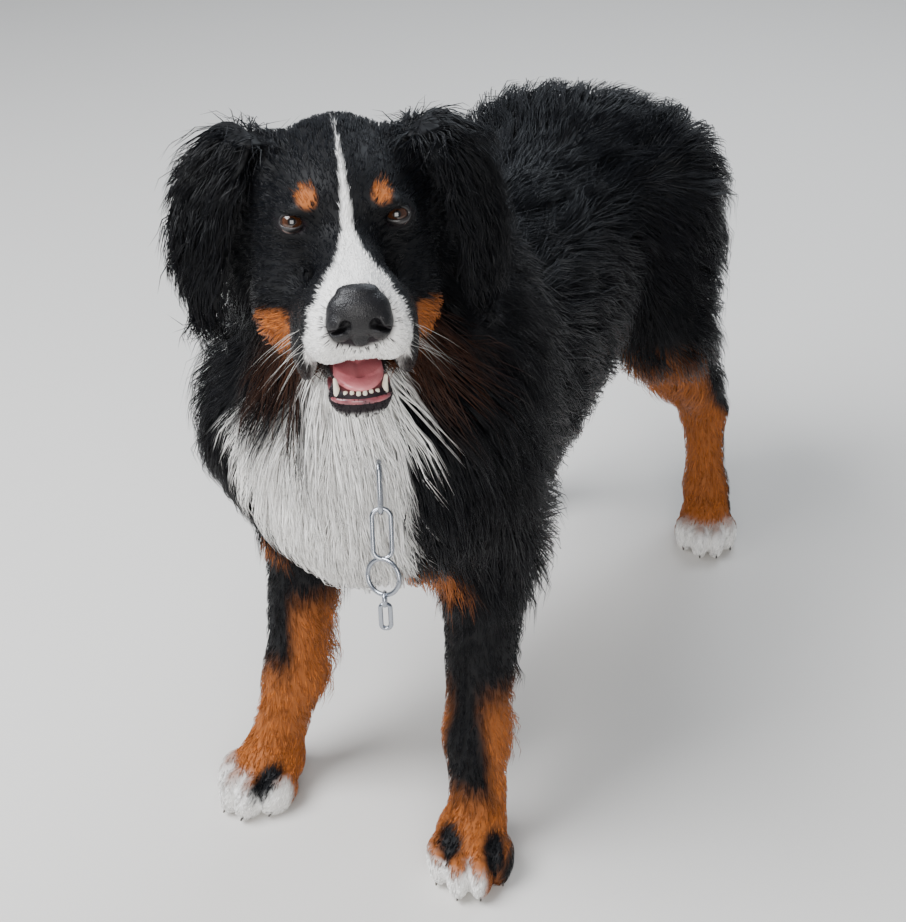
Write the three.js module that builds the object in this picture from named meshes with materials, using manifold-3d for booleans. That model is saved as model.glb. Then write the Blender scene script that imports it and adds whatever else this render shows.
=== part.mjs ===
// A Bernese mountain dog as a still, life-size model: standing on four feet, its head raised and turned
// to its left, its mouth a little open, with a long-link chain collar.
// Millimetres. +Z is up, the dog faces -Y, and +X is the dog's left.
// Each part is meshed from smooth masses. The long coat is one smooth form out to its tips, and thin
// plane cuts divide the parts from each other.
import * as THREE from 'three';
import { mergeVertices } from 'three/addons/utils/BufferGeometryUtils.js';
import Module from 'manifold-3d';

const wasm = await Module();
wasm.setup();

const V = (x, y, z) => new THREE.Vector3(x, y, z);
const up = V(0, 0, 1);
const gap = 0.4; // between parts that meet
const degrees = Math.PI / 180;

// Driving dimensions

const elbowHeight = 372;
const hockHeight = 186;
const eyeRadius = 12;
const eyeInHead = V(43, -60, 12);
const eyeOpening = { width: 23, height: 14 };
const noseTip = V(125, -500, 730);
const noseInHead = V(0, -168, -38);
const noseSize = { width: 52, height: 46 };
const headTurn = { yaw: 34.8, pitch: 7, roll: 0.5 };
const earThickness = 11;
const forepaw = { width: 88, length: 112, height: 62 };
const hindpaw = { width: 80, length: 102, height: 56 };
const chainWire = 3.4;
const chainLink = { length: 50, width: 20 };
const chainRing = 33;
const chainHeight = 17; // of the links' middle over the coat
const chainHang = V(90, -444, 436); // where the ring hangs from the lower link
const plainCoat = 20; // from the flesh out to the tips of the coat
const wristHeight = 72;
const fetlockHeight = 64;
const mouthCorner = -50; // in the head's frame, where the lower jaw meets the cheeks
const lidThickness = 2.6;
const earCup = 9;
const underMiddle = V(3.4, -30.8, 0); // the floor's point under the middle of the dog

// Places on the skeleton, one per leg where the two sides stand differently

const legs = {
  left: {
    side: 1,
    shoulder: V(98, -318, 478),
    elbow: V(110, -256, elbowHeight),
    wrist: V(109, -287, 142),
    forepaw: V(119, -327, 0),
    forepawYaw: 24,
    hip: V(72, 256, 545),
    stifle: V(112, 236, 378),
    hock: V(127, 384, hockHeight),
    hindFetlock: V(138, 380, 66),
    hindpaw: V(146, 362, 0),
    hindpawYaw: 24,
  },
  right: {
    side: -1,
    shoulder: V(-96, -312, 478),
    elbow: V(-100, -248, elbowHeight),
    wrist: V(-118, -280, 142),
    forepaw: V(-139, -322, 0),
    forepawYaw: -6,
    hip: V(-72, 256, 545),
    stifle: V(-110, 200, 374),
    hock: V(-122, 318, hockHeight),
    hindFetlock: V(-128, 306, 66),
    hindpaw: V(-132, 288, 0),
    hindpawYaw: -8,
  },
};
const tailLine = [V(0, 335, 592), V(-4, 410, 500), V(-22, 432, 380), V(-46, 430, 268)];

// Distance to a mass: negative inside it

function ball(centre, radii, turn = [0, 0, 0]) {
  const unturn = new THREE.Quaternion()
    .setFromEuler(new THREE.Euler(turn[0] * degrees, turn[1] * degrees, turn[2] * degrees, 'ZXY'))
    .invert();
  const q = V();
  return (p) => {
    q.copy(p).sub(centre).applyQuaternion(unturn);
    const scaled = Math.hypot(q.x / radii[0], q.y / radii[1], q.z / radii[2]);
    const steep = Math.hypot(q.x / radii[0] ** 2, q.y / radii[1] ** 2, q.z / radii[2] ** 2);
    return steep < 1e-9 ? -Math.min(...radii) : (scaled * (scaled - 1)) / steep;
  };
}

function limb(from, to, startRadius, endRadius) {
  const along = to.clone().sub(from);
  const squared = along.lengthSq();
  const q = V();
  return (p) => {
    const share = THREE.MathUtils.clamp(q.copy(p).sub(from).dot(along) / squared, 0, 1);
    const radius = startRadius + (endRadius - startRadius) * share;
    return q.addScaledVector(along, -share).length() - radius;
  };
}

// Masses melted into one another over a width of softness
function melt(softness, ...masses) {
  return (p) => masses.reduce((nearest, mass) => {
    const d = mass(p);
    const overlap = Math.max(softness - Math.abs(nearest - d), 0) / softness;
    return Math.min(nearest, d) - (overlap * overlap * softness) / 4;
  }, 1e6);
}

const carve = (softness, mass, hollow) => (p) => {
  const d = mass(p);
  const h = -hollow(p);
  const overlap = Math.max(softness - Math.abs(d - h), 0) / softness;
  return Math.max(d, h) + (overlap * overlap * softness) / 4;
};

// Head, in its own frame: origin between the temples, -Y to the nose

const headFrame = new THREE.Matrix4().makeRotationFromEuler(
  new THREE.Euler(-headTurn.pitch * degrees, headTurn.roll * degrees, headTurn.yaw * degrees, 'ZXY'),
);
headFrame.setPosition(noseTip.clone().sub(noseInHead.clone().applyMatrix4(headFrame)));
const headUnframe = headFrame.clone().invert();
const inHead = (x, y, z) => V(x, y, z).applyMatrix4(headFrame);
const headward = (x, y, z) => V(x, y, z).transformDirection(headFrame);

const pair = (mass, [x, y, z], radii, turn = [0, 0, 0]) => [
  mass(V(x, y, z), radii, turn),
  mass(V(-x, y, z), radii, [turn[0], -turn[1], -turn[2]]),
];

const skull = melt(
  24,
  ball(V(0, 24, 8), [66, 86, 60]),
  ball(V(0, -26, 16), [54, 50, 42]),
  ...pair(ball, [42, -8, -26], [30, 52, 46]),
  ...pair(ball, [44, 30, -44], [32, 46, 46]),
  ...pair(ball, [50, -30, -66], [28, 40, 40]), // cheeks
  ...pair(ball, [58, 20, 6], [26, 34, 60]), // hair below the ears' roots
);
const brows = pair(ball, [31, -64, 25], [17, 13, 9], [0, 0, -20]);
const muzzle = melt(
  14,
  limb(V(0, -58, -14), V(0, -142, -34), 31, 25),
  ...pair(ball, [23, -116, -56], [25, 46, 36], [0, 0, 4]),
  ...pair(ball, [40, -78, -80], [14, 38, 40], [-14, 0, 6]),
);
const nape = ball(V(0, 30, -84), [58, 56, 60]);
const jawFlesh = melt(
  8,
  limb(V(0, -34, -104), V(0, -108, -118), 30, 21),
  ball(V(0, -116, -119), [24, 20, 18]),
);
const mouthHollow = melt(
  8,
  ball(V(0, -118, -91), [23, 46, 17], [12, 0, 0]),
  ball(V(0, -84, -94), [25, 34, 13], [10, 0, 0]),
);
const sockets = pair(ball, [eyeInHead.x + 3, -76, 11], [14, 14, 10]);
const upperHead = [sockets[0], sockets[1], mouthHollow]
  .reduce((mass, hollow) => carve(5, mass, hollow), melt(14, melt(20, skull, muzzle), ...brows, nape));
const headFlesh = melt(10, upperHead, carve(4, jawFlesh, mouthHollow));

// Body masses, to the core of the coat

const neckRoot = V(0, -222, 566);
const neckTop = inHead(0, 62, -26);
const throat = inHead(0, 10, -96);
const foreChest = V(4, -314, 466);

const trunkMasses = [
  ball(V(0, -118, 476), [138, 228, 164]), // ribcage
  ball(V(0, -200, 590), [80, 112, 80]), // withers
  limb(V(0, 20, 530), V(0, 225, 536), 104, 100), // loin
  ball(V(0, 60, 462), [110, 168, 106]), // belly
  ball(V(0, 245, 545), [102, 106, 94]), // croup
  ball(foreChest, [92, 82, 116]),
];
const neckMasses = [
  limb(neckRoot, neckTop, 106, 76),
  limb(foreChest, throat, 88, 58),
];

function legMasses(leg) {
  const forePad = leg.forepaw.clone().setZ(36);
  const hindPad = leg.hindpaw.clone().setZ(32);
  return {
    shoulder: [
      ball(V(leg.side * 92, -262, 505), [54, 90, 116], [18, 0, 0]),
      limb(leg.shoulder, leg.elbow, 60, 48),
    ],
    forearm: [
      limb(leg.elbow, leg.wrist, 46, 31),
      limb(leg.wrist, forePad.clone().add(V(0, 20, 14)), 31, 31),
    ],
    thigh: [
      limb(leg.hip, leg.stifle, 90, 52),
      ball(V(leg.side * 90, leg.hip.y + 34, 455), [56, 96, 112]),
      limb(leg.stifle, leg.hock.clone().add(V(0, 0, 6)), 50, 27),
    ],
    shank: [
      limb(leg.hock, leg.hindFetlock, 27, 25),
      limb(leg.hindFetlock, hindPad.clone().add(V(0, 16, 10)), 25, 27),
    ],
  };
}
const leftMasses = legMasses(legs.left);
const rightMasses = legMasses(legs.right);

// A paw in its own frame: toes to -Y, sole at z = 0
function pawFlesh({ width, length, height }) {
  const toe = [-0.36, -0.13, 0.13, 0.36].map((across, i) => {
    const inner = i === 1 || i === 2;
    const reach = inner ? -0.4 : -0.22;
    return ball(
      V(width * across * 1.04, length * reach, height * 0.36),
      [width * 0.15, length * 0.24, height * 0.42],
      [0, 0, across * -26],
    );
  });
  const top = ball(V(0, length * 0.02, height * 0.52), [width * 0.44, length * 0.4, height * 0.55]);
  return melt(7, ...toe, top);
}

const paws = [
  ['forepaw_left', legs.left.forepaw, legs.left.forepawYaw, forepaw],
  ['forepaw_right', legs.right.forepaw, legs.right.forepawYaw, forepaw],
  ['hindpaw_left', legs.left.hindpaw, legs.left.hindpawYaw, hindpaw],
  ['hindpaw_right', legs.right.hindpaw, legs.right.hindpawYaw, hindpaw],
].map(([name, place, yaw, size]) => {
  const frame = new THREE.Matrix4().makeRotationZ(yaw * degrees).setPosition(place);
  const unframe = frame.clone().invert();
  const flesh = pawFlesh(size);
  const q = V();
  return { name, size, frame, distance: (p) => flesh(q.copy(p).applyMatrix4(unframe)) };
});

const headQ = V();
const headDistance = (p) => headFlesh(headQ.copy(p).applyMatrix4(headUnframe));
const plainTrunk = melt(
  54,
  ...trunkMasses,
  ...leftMasses.shoulder,
  ...rightMasses.shoulder,
  ...neckMasses,
  leftMasses.thigh[1],
  rightMasses.thigh[1],
);
const trunk = (p) => plainTrunk(p) - plainCoat;
const foreleg = { left: melt(26, ...leftMasses.forearm), right: melt(26, ...rightMasses.forearm) };
const hindleg = {
  left: melt(28, leftMasses.thigh[0], leftMasses.thigh[2], ...leftMasses.shank),
  right: melt(28, rightMasses.thigh[0], rightMasses.thigh[2], ...rightMasses.shank),
};
const tailFlesh = melt(
  12,
  limb(tailLine[0], tailLine[1], 34, 24),
  limb(tailLine[1], tailLine[2], 24, 19),
  limb(tailLine[2], tailLine[3], 19, 11),
);
const torso = melt(26, trunk, foreleg.left, foreleg.right, hindleg.left, hindleg.right, tailFlesh);
const body = melt(12, torso, headDistance, ...paws.map((paw) => paw.distance));

// Mesh of the surface where a distance is nought, on a grid given by its lines along X, Y and Z. Each
// cell that the surface passes through gets one vertex for each piece of surface in it.

function rule(from, to, cell) {
  const lines = Math.ceil((to - from) / cell) + 1;
  return [...Array(lines).keys()].map((n) => from + n * cell);
}

const cornerBits = [0, 1, 2, 3, 4, 5, 6, 7].map((c) => [c & 1, (c >> 1) & 1, c >> 2]);
const cellEdges = cornerBits.flatMap((bits, corner) => [0, 1, 2]
  .filter((axis) => !bits[axis])
  .map((axis) => ({ key: corner * 3 + axis, from: corner, to: corner | (1 << axis) })));
const edgeBetween = (a, b) => cellEdges.find((e) => e.from === Math.min(a, b) && e.to === Math.max(a, b)).key;
const cellFaces = [0, 1, 2].flatMap((axis) => [0, 1].map((far) => {
  const [u, v] = [1 << ((axis + 1) % 3), 1 << ((axis + 2) % 3)];
  const base = far << axis;
  const corners = [base, base | u, base | u | v, base | v];
  return { corners, edges: corners.map((c, i) => edgeBetween(c, corners[(i + 1) % 4])) };
}));

// Groups of the cell's crossed edges that one piece of surface joins
function piecesInCell(inside) {
  const owner = new Map();
  for (const { key, from, to } of cellEdges) if (inside[from] !== inside[to]) owner.set(key, key);
  const join = (a, b) => {
    const [keep, drop] = [owner.get(a), owner.get(b)];
    for (const [key, value] of owner) if (value === drop) owner.set(key, keep);
  };
  for (const { corners, edges } of cellFaces) {
    const crossed = edges.filter((key) => owner.has(key));
    if (crossed.length === 2) join(...crossed);
    if (crossed.length !== 4) continue;
    corners.forEach((corner, i) => {
      if (inside[corner]) join(edges[(i + 3) % 4], edges[i]);
    });
  }
  return owner;
}

function surface(distance, lines, frame = new THREE.Matrix4()) {
  const count = lines.map((line) => line.length);
  const stride = [1, count[0], count[0] * count[1]];
  const values = new Float64Array(count[0] * count[1] * count[2]);
  const everyPoint = (margin, visit) => {
    for (let k = margin; k < count[2] - 1; k++)
      for (let j = margin; j < count[1] - 1; j++)
        for (let i = margin; i < count[0] - 1; i++) visit(i + j * stride[1] + k * stride[2], [i, j, k]);
  };
  const p = V();
  values.fill(1);
  everyPoint(1, (here, ijk) => {
    p.set(...ijk.map((n, axis) => lines[axis][n])).applyMatrix4(frame);
    values[here] = distance(p);
  });
  const vertexOf = new Map();
  const points = [];
  everyPoint(0, (here, ijk) => {
    const corner = cornerBits.map(([i, j, k]) => values[here + i + j * stride[1] + k * stride[2]]);
    const inside = corner.map((value) => value < 0);
    if (inside.every((value) => value === inside[0])) return;
    const owner = piecesInCell(inside);
    for (const piece of new Set(owner.values())) {
      const crossed = cellEdges.filter(({ key }) => owner.get(key) === piece);
      const middle = V();
      for (const { from, to } of crossed) {
        const share = corner[from] / (corner[from] - corner[to]);
        middle.add(V(...cornerBits[from]).lerp(V(...cornerBits[to]), share));
      }
      middle.divideScalar(crossed.length);
      for (const { key } of crossed) vertexOf.set(here * 24 + key, points.length);
      const at = middle.toArray().map((share, axis) => {
        const [near, far] = lines[axis].slice(ijk[axis], ijk[axis] + 2);
        return near + (far - near) * share;
      });
      points.push(V(...at).applyMatrix4(frame));
    }
  });
  const faces = [];
  everyPoint(0, (here) => {
    for (let axis = 0; axis < 3; axis++) {
      const inside = values[here] < 0;
      if (inside === values[here + stride[axis]] < 0) continue;
      const [u, v] = [(axis + 1) % 3, (axis + 2) % 3];
      const [uBit, vBit] = [1 << u, 1 << v];
      const quad = [
        [here - stride[u] - stride[v], uBit | vBit],
        [here - stride[v], vBit],
        [here, 0],
        [here - stride[u], uBit],
      ].map(([index, corner]) => vertexOf.get(index * 24 + corner * 3 + axis));
      if (!inside) quad.reverse();
      const [a, b, c, d] = quad;
      const split = points[a].distanceToSquared(points[c]) < points[b].distanceToSquared(points[d]);
      faces.push(...(split ? [a, b, c, a, c, d] : [a, b, d, b, c, d]));
    }
  });
  const finest = Math.min(...lines.map((line) => line[1] - line[0]));
  for (const point of points) settle(distance, point, 0, finest * 0.4);
  return closed(points, faces);
}

const step = 0.5;
function slope(distance, p) {
  const q = V();
  return V(
    distance(q.copy(p).add(V(step, 0, 0))) - distance(q.copy(p).add(V(-step, 0, 0))),
    distance(q.copy(p).add(V(0, step, 0))) - distance(q.copy(p).add(V(0, -step, 0))),
    distance(q.copy(p).add(V(0, 0, step))) - distance(q.copy(p).add(V(0, 0, -step))),
  ).divideScalar(2 * step);
}

// Moves a point along the slope to the given height over the surface, by at most reach
function settle(distance, point, height, reach) {
  const start = point.clone();
  for (let turn = 0; turn < 4; turn++) {
    const grade = slope(distance, point);
    point.addScaledVector(grade, (height - distance(point)) / Math.max(grade.lengthSq(), 0.05));
  }
  const moved = point.clone().sub(start);
  if (moved.length() > reach) point.copy(start).addScaledVector(moved.normalize(), reach);
  return point;
}

// Solids

function closed(points, faces) {
  const vertProperties = new Float32Array(points.length * 3);
  points.forEach((p, i) => p.toArray(vertProperties, i * 3));
  const signed = (triVerts) => new wasm.Manifold(new wasm.Mesh({ numProp: 3, vertProperties, triVerts }));
  const right = signed(new Uint32Array(faces));
  return right.volume() > 0 ? right : signed(new Uint32Array(faces).reverse());
}

function solid(geometry) {
  const bare = geometry.clone();
  bare.deleteAttribute('normal');
  bare.deleteAttribute('uv');
  const merged = mergeVertices(bare, 1e-3);
  return new wasm.Manifold(new wasm.Mesh({
    numProp: 3,
    vertProperties: new Float32Array(merged.attributes.position.array),
    triVerts: new Uint32Array(merged.index.array),
  }));
}

// What lies ahead of a plane: a block whose near face is the plane
const blockSize = 3000;
function ahead(point, normal) {
  const geometry = new THREE.BoxGeometry(blockSize, blockSize, blockSize).translate(0, 0, blockSize / 2);
  const turn = new THREE.Quaternion().setFromUnitVectors(up, normal.clone().normalize());
  return solid(geometry.applyQuaternion(turn).translate(point.x, point.y, point.z));
}

function keep(made, point, normal) {
  const unit = normal.clone().normalize();
  return made.intersect(ahead(point.clone().addScaledVector(unit, gap / 2), unit));
}

// A closed skin over rings of like points, or round a closed loop of them
function lofted(rings, loop = false) {
  const across = rings[0].length;
  const faces = [];
  const spans = loop ? rings.length : rings.length - 1;
  for (let i = 0; i < spans; i++) {
    for (let j = 0; j < across; j++) {
      const [a, b] = [i * across + j, i * across + ((j + 1) % across)];
      const next = ((i + 1) % rings.length) * across;
      const [c, d] = [next + ((j + 1) % across), next + j];
      faces.push(a, b, c, a, c, d);
    }
  }
  if (!loop) {
    const last = (rings.length - 1) * across;
    for (let j = 1; j < across - 1; j++) faces.push(0, j + 1, j, last, last + j, last + j + 1);
  }
  return closed(rings.flat(), faces);
}

const largest = (made) => made.decompose().reduce((a, b) => (b.volume() > a.volume() ? b : a));

// Cuts between the parts: a point on each and the way it faces

const neckCut = { point: V(0, -300, 620), normal: V(0, -0.54, 0.84) };
const chestCut = { point: V(0, -30, 0), normal: V(0, -1, 0) };
const rumpCut = { point: V(0, 150, 0), normal: V(0, 1, 0) };
const tailCut = { point: V(0, 0, 360), normal: up };

const flipped = ({ point, normal }) => [point, normal.clone().negate()];
const facing = ({ point, normal }) => [point, normal];

function kept(made, ...planes) {
  return largest(planes.reduce((rest, plane) => keep(rest, ...plane), made));
}

// The block of space that each leg takes from the trunk
const legRoom = (leg, inner, top, front, back, tilt) => [
  [V(leg.side * inner, 0, 0), V(leg.side, 0, 0)],
  [V(leg.side * inner, front, top), V(0, tilt, -1)],
  [V(0, front, 0), V(0, 1, 0)],
  [V(0, back, 0), V(0, -1, 0)],
];
const foreRoom = (leg) => legRoom(leg, 52, elbowHeight + 22, -420, -150, 0);
const hindRoom = (leg) => legRoom(leg, 50, 430, 96, 520, -0.42);
const tailRoom = [
  [V(-100, 0, 0), V(1, 0, 0)],
  [V(50, 0, 0), V(-1, 0, 0)],
  [V(0, 352, 0), V(0, 1, 0)],
];

// The head takes what lies before its neck and above its throat
const headRoomLocal = [
  [V(0, -10, -146), V(0, -0.86, 0.51)],
  [V(0, 0, -158), V(0, 0, 1)],
];
const headRoom = headRoomLocal.map(([point, normal]) => [inHead(...point), headward(...normal)]);
const framedPoint = V();
const headBody = (p) => body(framedPoint.copy(p).applyMatrix4(headFrame));

function without(made, planes) {
  const room = planes.reduce(
    (rest, [point, normal]) => {
      const unit = normal.clone().normalize();
      const block = ahead(point.clone().addScaledVector(unit, -gap / 2), unit);
      return rest ? rest.intersect(block) : block;
    },
    null,
  );
  return made.subtract(room);
}

// The line round a mass in a plane, at a height over it
function girthAt(distance, { point, normal }, height, turns) {
  const side = V(1, 0, 0);
  const fore = side.clone().cross(normal).normalize();
  const around = [...Array(turns).keys()].map((i) => {
    const angle = (i / turns) * 2 * Math.PI;
    const ray = side.clone().multiplyScalar(Math.cos(angle)).addScaledVector(fore, Math.sin(angle));
    let [near, far] = [0, 400];
    for (let step = 0; step < 24; step++) {
      const middle = (near + far) / 2;
      if (distance(point.clone().addScaledVector(ray, middle)) < height) near = middle;
      else far = middle;
    }
    return point.clone().addScaledVector(ray, near);
  });
  return new THREE.CatmullRomCurve3(around, true);
}

const parts = [];
const materials = {
  black: { color: 0x0b0b0d, roughness: 0.6 },
  white: { color: 0xe9e6df, roughness: 0.8 },
  tan: { color: 0x9a4a17, roughness: 0.75 },
  nose: { color: 0x151416, roughness: 0.35 },
  eye: { color: 0x2a1408, roughness: 0.08 },
  mouth: { color: 0x6a2f38, roughness: 0.4 },
  tongue: { color: 0xc4545a, roughness: 0.4 },
  steel: { color: 0xb9bec4, roughness: 0.25, metalness: 1 },
};

const made = {};
function add(name, body, look) {
  made[name] = { body, look };
}

// Trunk

const trunkGrid = [rule(-240, 240, 30), rule(-460, 470, 34), rule(180, 780, 30)];
const legRooms = [foreRoom(legs.left), foreRoom(legs.right), hindRoom(legs.left), hindRoom(legs.right)];
const legless = (whole) => legRooms.reduce(without, whole);
const trunkSolid = [tailRoom, headRoom].reduce(without, legless(surface(body, trunkGrid)));
const neckGrid = [rule(-190, 230, 26), rule(-480, -90, 26), rule(430, 800, 26)];
add('neck', kept(without(surface(body, neckGrid), headRoom), facing(neckCut)), 'black');
add('chest', kept(trunkSolid, flipped(neckCut), facing(chestCut)), 'black');
add('loin', kept(trunkSolid, flipped(chestCut), flipped(rumpCut)), 'black');
add('rump', kept(trunkSolid, facing(rumpCut)), 'black');

// Tail

const tailSolid = surface(body, [rule(-110, 70, 15), rule(325, 480, 15), rule(230, 640, 26)]);
add('tail_base', kept(tailSolid, ...tailRoom, facing(tailCut)), 'black');
add('tail_tip', kept(tailSolid, ...tailRoom, flipped(tailCut)), 'white');

// Legs

for (const [side, leg] of Object.entries(legs)) {
  const x = rule(...[leg.side * 36, leg.side * 220].sort((a, b) => a - b), 20);
  const fore = surface(body, [x, rule(-420, -150, 19), rule(40, 430, 30)]);
  const wristCut = { point: V(0, 0, wristHeight), normal: up };
  add('foreleg_' + side, kept(fore, ...foreRoom(leg), facing(wristCut)), 'black');
  const hind = surface(body, [x, rule(80, 480, 23), rule(36, 520, 27)]);
  const hockCut = { point: leg.hock, normal: up };
  const fetlockCut = { point: V(0, 0, fetlockHeight), normal: up };
  add('thigh_' + side, kept(hind, ...hindRoom(leg), facing(hockCut)), 'black');
  add('shank_' + side, kept(hind, ...hindRoom(leg), flipped(hockCut), facing(fetlockCut)), 'tan');
}

for (const paw of paws) {
  const { width, length } = paw.size;
  const [reach, stretch] = [width * 0.8, length * 0.9];
  const grid = [rule(-reach, reach, 13.5), rule(-stretch, stretch, 14), rule(-20, 100, 14)];
  const sole = [V(0, 0, -gap / 2), up];
  const top = paw.size === forepaw ? wristHeight : fetlockHeight;
  add(paw.name, kept(surface(body, grid, paw.frame), sole, [V(0, 0, top), V(0, 0, -1)]), 'white');
}

// Head

const headLengths = [...rule(-186, -60, 10.5), ...rule(-43, 150, 18)];
const headRule = [rule(-112, 112, 11.5), headLengths, rule(-180, 100, 12)];
const jawGrid = [rule(-60, 60, 8.6), rule(-160, 30, 8.6), rule(-170, -60, 8.6)];
const jawHere = (swell) => (p) => carve(4, jawFlesh, mouthHollow)(p) - swell;
const inHeadFrame = (solidMade) => solidMade.transform(headFrame.toArray());
const jawWhole = surface(jawHere(0), jawGrid);
const jawSwollen = surface(jawHere(1.2), jawGrid)
  .add(jawWhole.translate(0, 0, gap))
  .add(jawWhole.translate(gap, 0, 0))
  .add(jawWhole.translate(-gap, 0, 0));
const jawRoom = [[V(0, mouthCorner, 0), V(0, -1, 0)]];
const headWhole = surface(headBody, headRule);
const headSwollen = surface((p) => headBody(p) - 1, headRule)
  .add(headWhole.translate(0, -gap, 0))
  .add(headWhole.translate(0, gap, gap));

// Lids: a rim round each eye, open in front to the width and height of the eye's opening
const eyeBall = (side, radius) => solid(
  new THREE.IcosahedronGeometry(radius, 1).translate(side * eyeInHead.x, eyeInHead.y, eyeInHead.z),
);
function eyeGap(side) {
  const shape = new THREE.IcosahedronGeometry(1, 1).scale(eyeOpening.width / 2, 22, eyeOpening.height / 2);
  return solid(shape.translate(side * (eyeInHead.x + 1), eyeInHead.y - 16, eyeInHead.z));
}
const lidded = [-1, 1].reduce((head, side) => head
  .add(eyeBall(side, eyeRadius + lidThickness))
  .subtract(eyeBall(side, eyeRadius + gap))
  .subtract(eyeGap(side)), headWhole);

const jawPocket = keep(jawSwollen, V(0, mouthCorner + gap, 0), V(0, -1, 0));
const headHere = kept(lidded.subtract(jawPocket), ...headRoomLocal);
add('head', inHeadFrame(headHere), 'black');
for (const [name, side] of [['eye_right', -1], ['eye_left', 1]]) {
  add(name, inHeadFrame(eyeBall(side, eyeRadius)), 'eye');
}

// Lower jaw with its canines and incisors
const tooth = (x, y, z, radius, height, sides) => solid(
  new THREE.ConeGeometry(radius, height, sides).rotateX(90 * degrees).translate(x, y, z + height / 2),
);
const teeth = [
  ...[-1, 1].map((side) => tooth(side * 18, -124, -117, 4.6, 19, 6)),
  ...[-2.5, -1.5, -0.5, 0.5, 1.5, 2.5].map((place) => tooth(
    place * 5, -131 + Math.abs(place) * 1.3, -118, 2.6, 9, 4,
  )),
];
add('lower_jaw', inHeadFrame(largest(teeth.reduce(
  (jaw, one) => jaw.add(one),
  keep(jawWhole, V(0, mouthCorner - gap, 0), V(0, -1, 0)),
))), 'mouth');

// Tongue, lying in the lower jaw
const tongueFlesh = melt(
  8,
  ball(V(0, -100, -102), [19, 30, 7], [9, 0, 0]),
  ball(V(0, -78, -97), [19, 24, 7], [6, 0, 0]),
);
const tongueGrid = [rule(-28, 28, 9), rule(-140, -44, 12), rule(-120, -80, 7.5)];
const tongue = surface(tongueFlesh, tongueGrid).subtract(jawSwollen).subtract(headSwollen);
add('tongue', inHeadFrame(largest(tongue)), 'tongue');

// Nose, with a nostril each side that turns out into a slit
const noseFlesh = [-1, 1].reduce(
  (mass, side) => carve(
    2,
    carve(2, mass, ball(V(side * 11.5, -170, -40), [5.5, 9, 6])),
    ball(V(side * 19, -163, -44), [9, 9, 2.8], [0, side * 22, 0]),
  ),
  melt(
    9,
    ball(V(0, -154, -34), [noseSize.width / 2, 15, noseSize.height * 0.44]),
    ...pair(ball, [15, -154, -40], [11, 13, 15]),
    ball(V(0, -155, -52), [10, 9, 13]),
  ),
);
const noseGrid = [rule(-33, 33, 6.6), rule(-184, -132, 6.8), rule(-74, -6, 6.6)];
add('nose', inHeadFrame(largest(surface(noseFlesh, noseGrid).subtract(headSwollen))), 'nose');

// Ears: leaves that fold down beside the cheek, cupped towards the head
const earStations = [
  { at: V(60, 20, 58), half: 26, across: V(0.25, 0.97, 0) },
  { at: V(84, 20, 62), half: 36, across: V(0.55, 0.83, 0.05) },
  { at: V(106, 18, 36), half: 42, across: V(0.66, 0.75, 0.1) },
  { at: V(119, 12, -4), half: 38, across: V(0.7, 0.7, 0.12) },
  { at: V(121, 5, -44), half: 26, across: V(0.72, 0.69, 0.1) },
  { at: V(118, 0, -100), half: 18, across: V(0.72, 0.69, 0.1) },
];
const earSection = [
  [-1, 0], [-0.5, 0.5], [0, 0.6], [0.5, 0.5], [1, 0], [0.5, -0.3], [0, -0.25], [-0.5, -0.3],
];
function earLeaf(side) {
  const rings = earStations.map(({ at, half, across }, i) => {
    const before = earStations[Math.max(i - 1, 0)].at;
    const after = earStations[Math.min(i + 1, earStations.length - 1)].at;
    const along = after.clone().sub(before).normalize();
    const wide = across.clone().addScaledVector(along, -across.dot(along)).normalize();
    const out = wide.clone().cross(along).multiplyScalar(-1);
    return earSection.map(([u, v]) => {
      const cup = earCup * (0.5 - u * u);
      const point = at.clone().addScaledVector(wide, u * half).addScaledVector(out, v * earThickness + cup);
      return point.setX(point.x * side);
    });
  });
  return lofted(rings);
}
for (const [name, side] of [['ear_right', -1], ['ear_left', 1]]) {
  add(name, inHeadFrame(largest(earLeaf(side).subtract(headSwollen))), 'black');
}

// Chain: links round the neck where it meets the chest, then two links and a ring that hang on the chest
function wireLoop(half, radius, corners, sides) {
  const loop = [...Array(corners).keys()].map((i) => {
    const angle = (i / corners) * 2 * Math.PI;
    return V(half * Math.sign(Math.cos(angle)) + radius * Math.cos(angle), radius * Math.sin(angle), 0);
  });
  const rings = loop.map((at, i) => {
    const along = loop[(i + 1) % corners].clone().sub(loop[(i + corners - 1) % corners]).normalize();
    const wide = along.clone().cross(up);
    return [...Array(sides).keys()].map((j) => {
      const angle = (j / sides) * 2 * Math.PI;
      return at.clone()
        .addScaledVector(wide, Math.cos(angle) * chainWire / 2)
        .addScaledVector(up, Math.sin(angle) * chainWire / 2);
    });
  });
  return lofted(rings, true);
}
const linkLoop = (sides) => wireLoop(
  (chainLink.length - chainLink.width) / 2, (chainLink.width - chainWire) / 2, 8, sides,
);
function placed(body, at, along, wide) {
  const x = along.clone().normalize();
  const y = wide.clone().addScaledVector(x, -wide.dot(x)).normalize();
  return body.transform(new THREE.Matrix4().makeBasis(x, y, x.clone().cross(y)).setPosition(at).toArray());
}
const linkSlack = 0.9;
const linkPitch = chainLink.length - 2 * chainWire - linkSlack;
const girth = girthAt(torso, neckCut, chainHeight, 90);
const linkCount = 2 * Math.ceil(girth.getLength() / linkPitch / 2);
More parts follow.
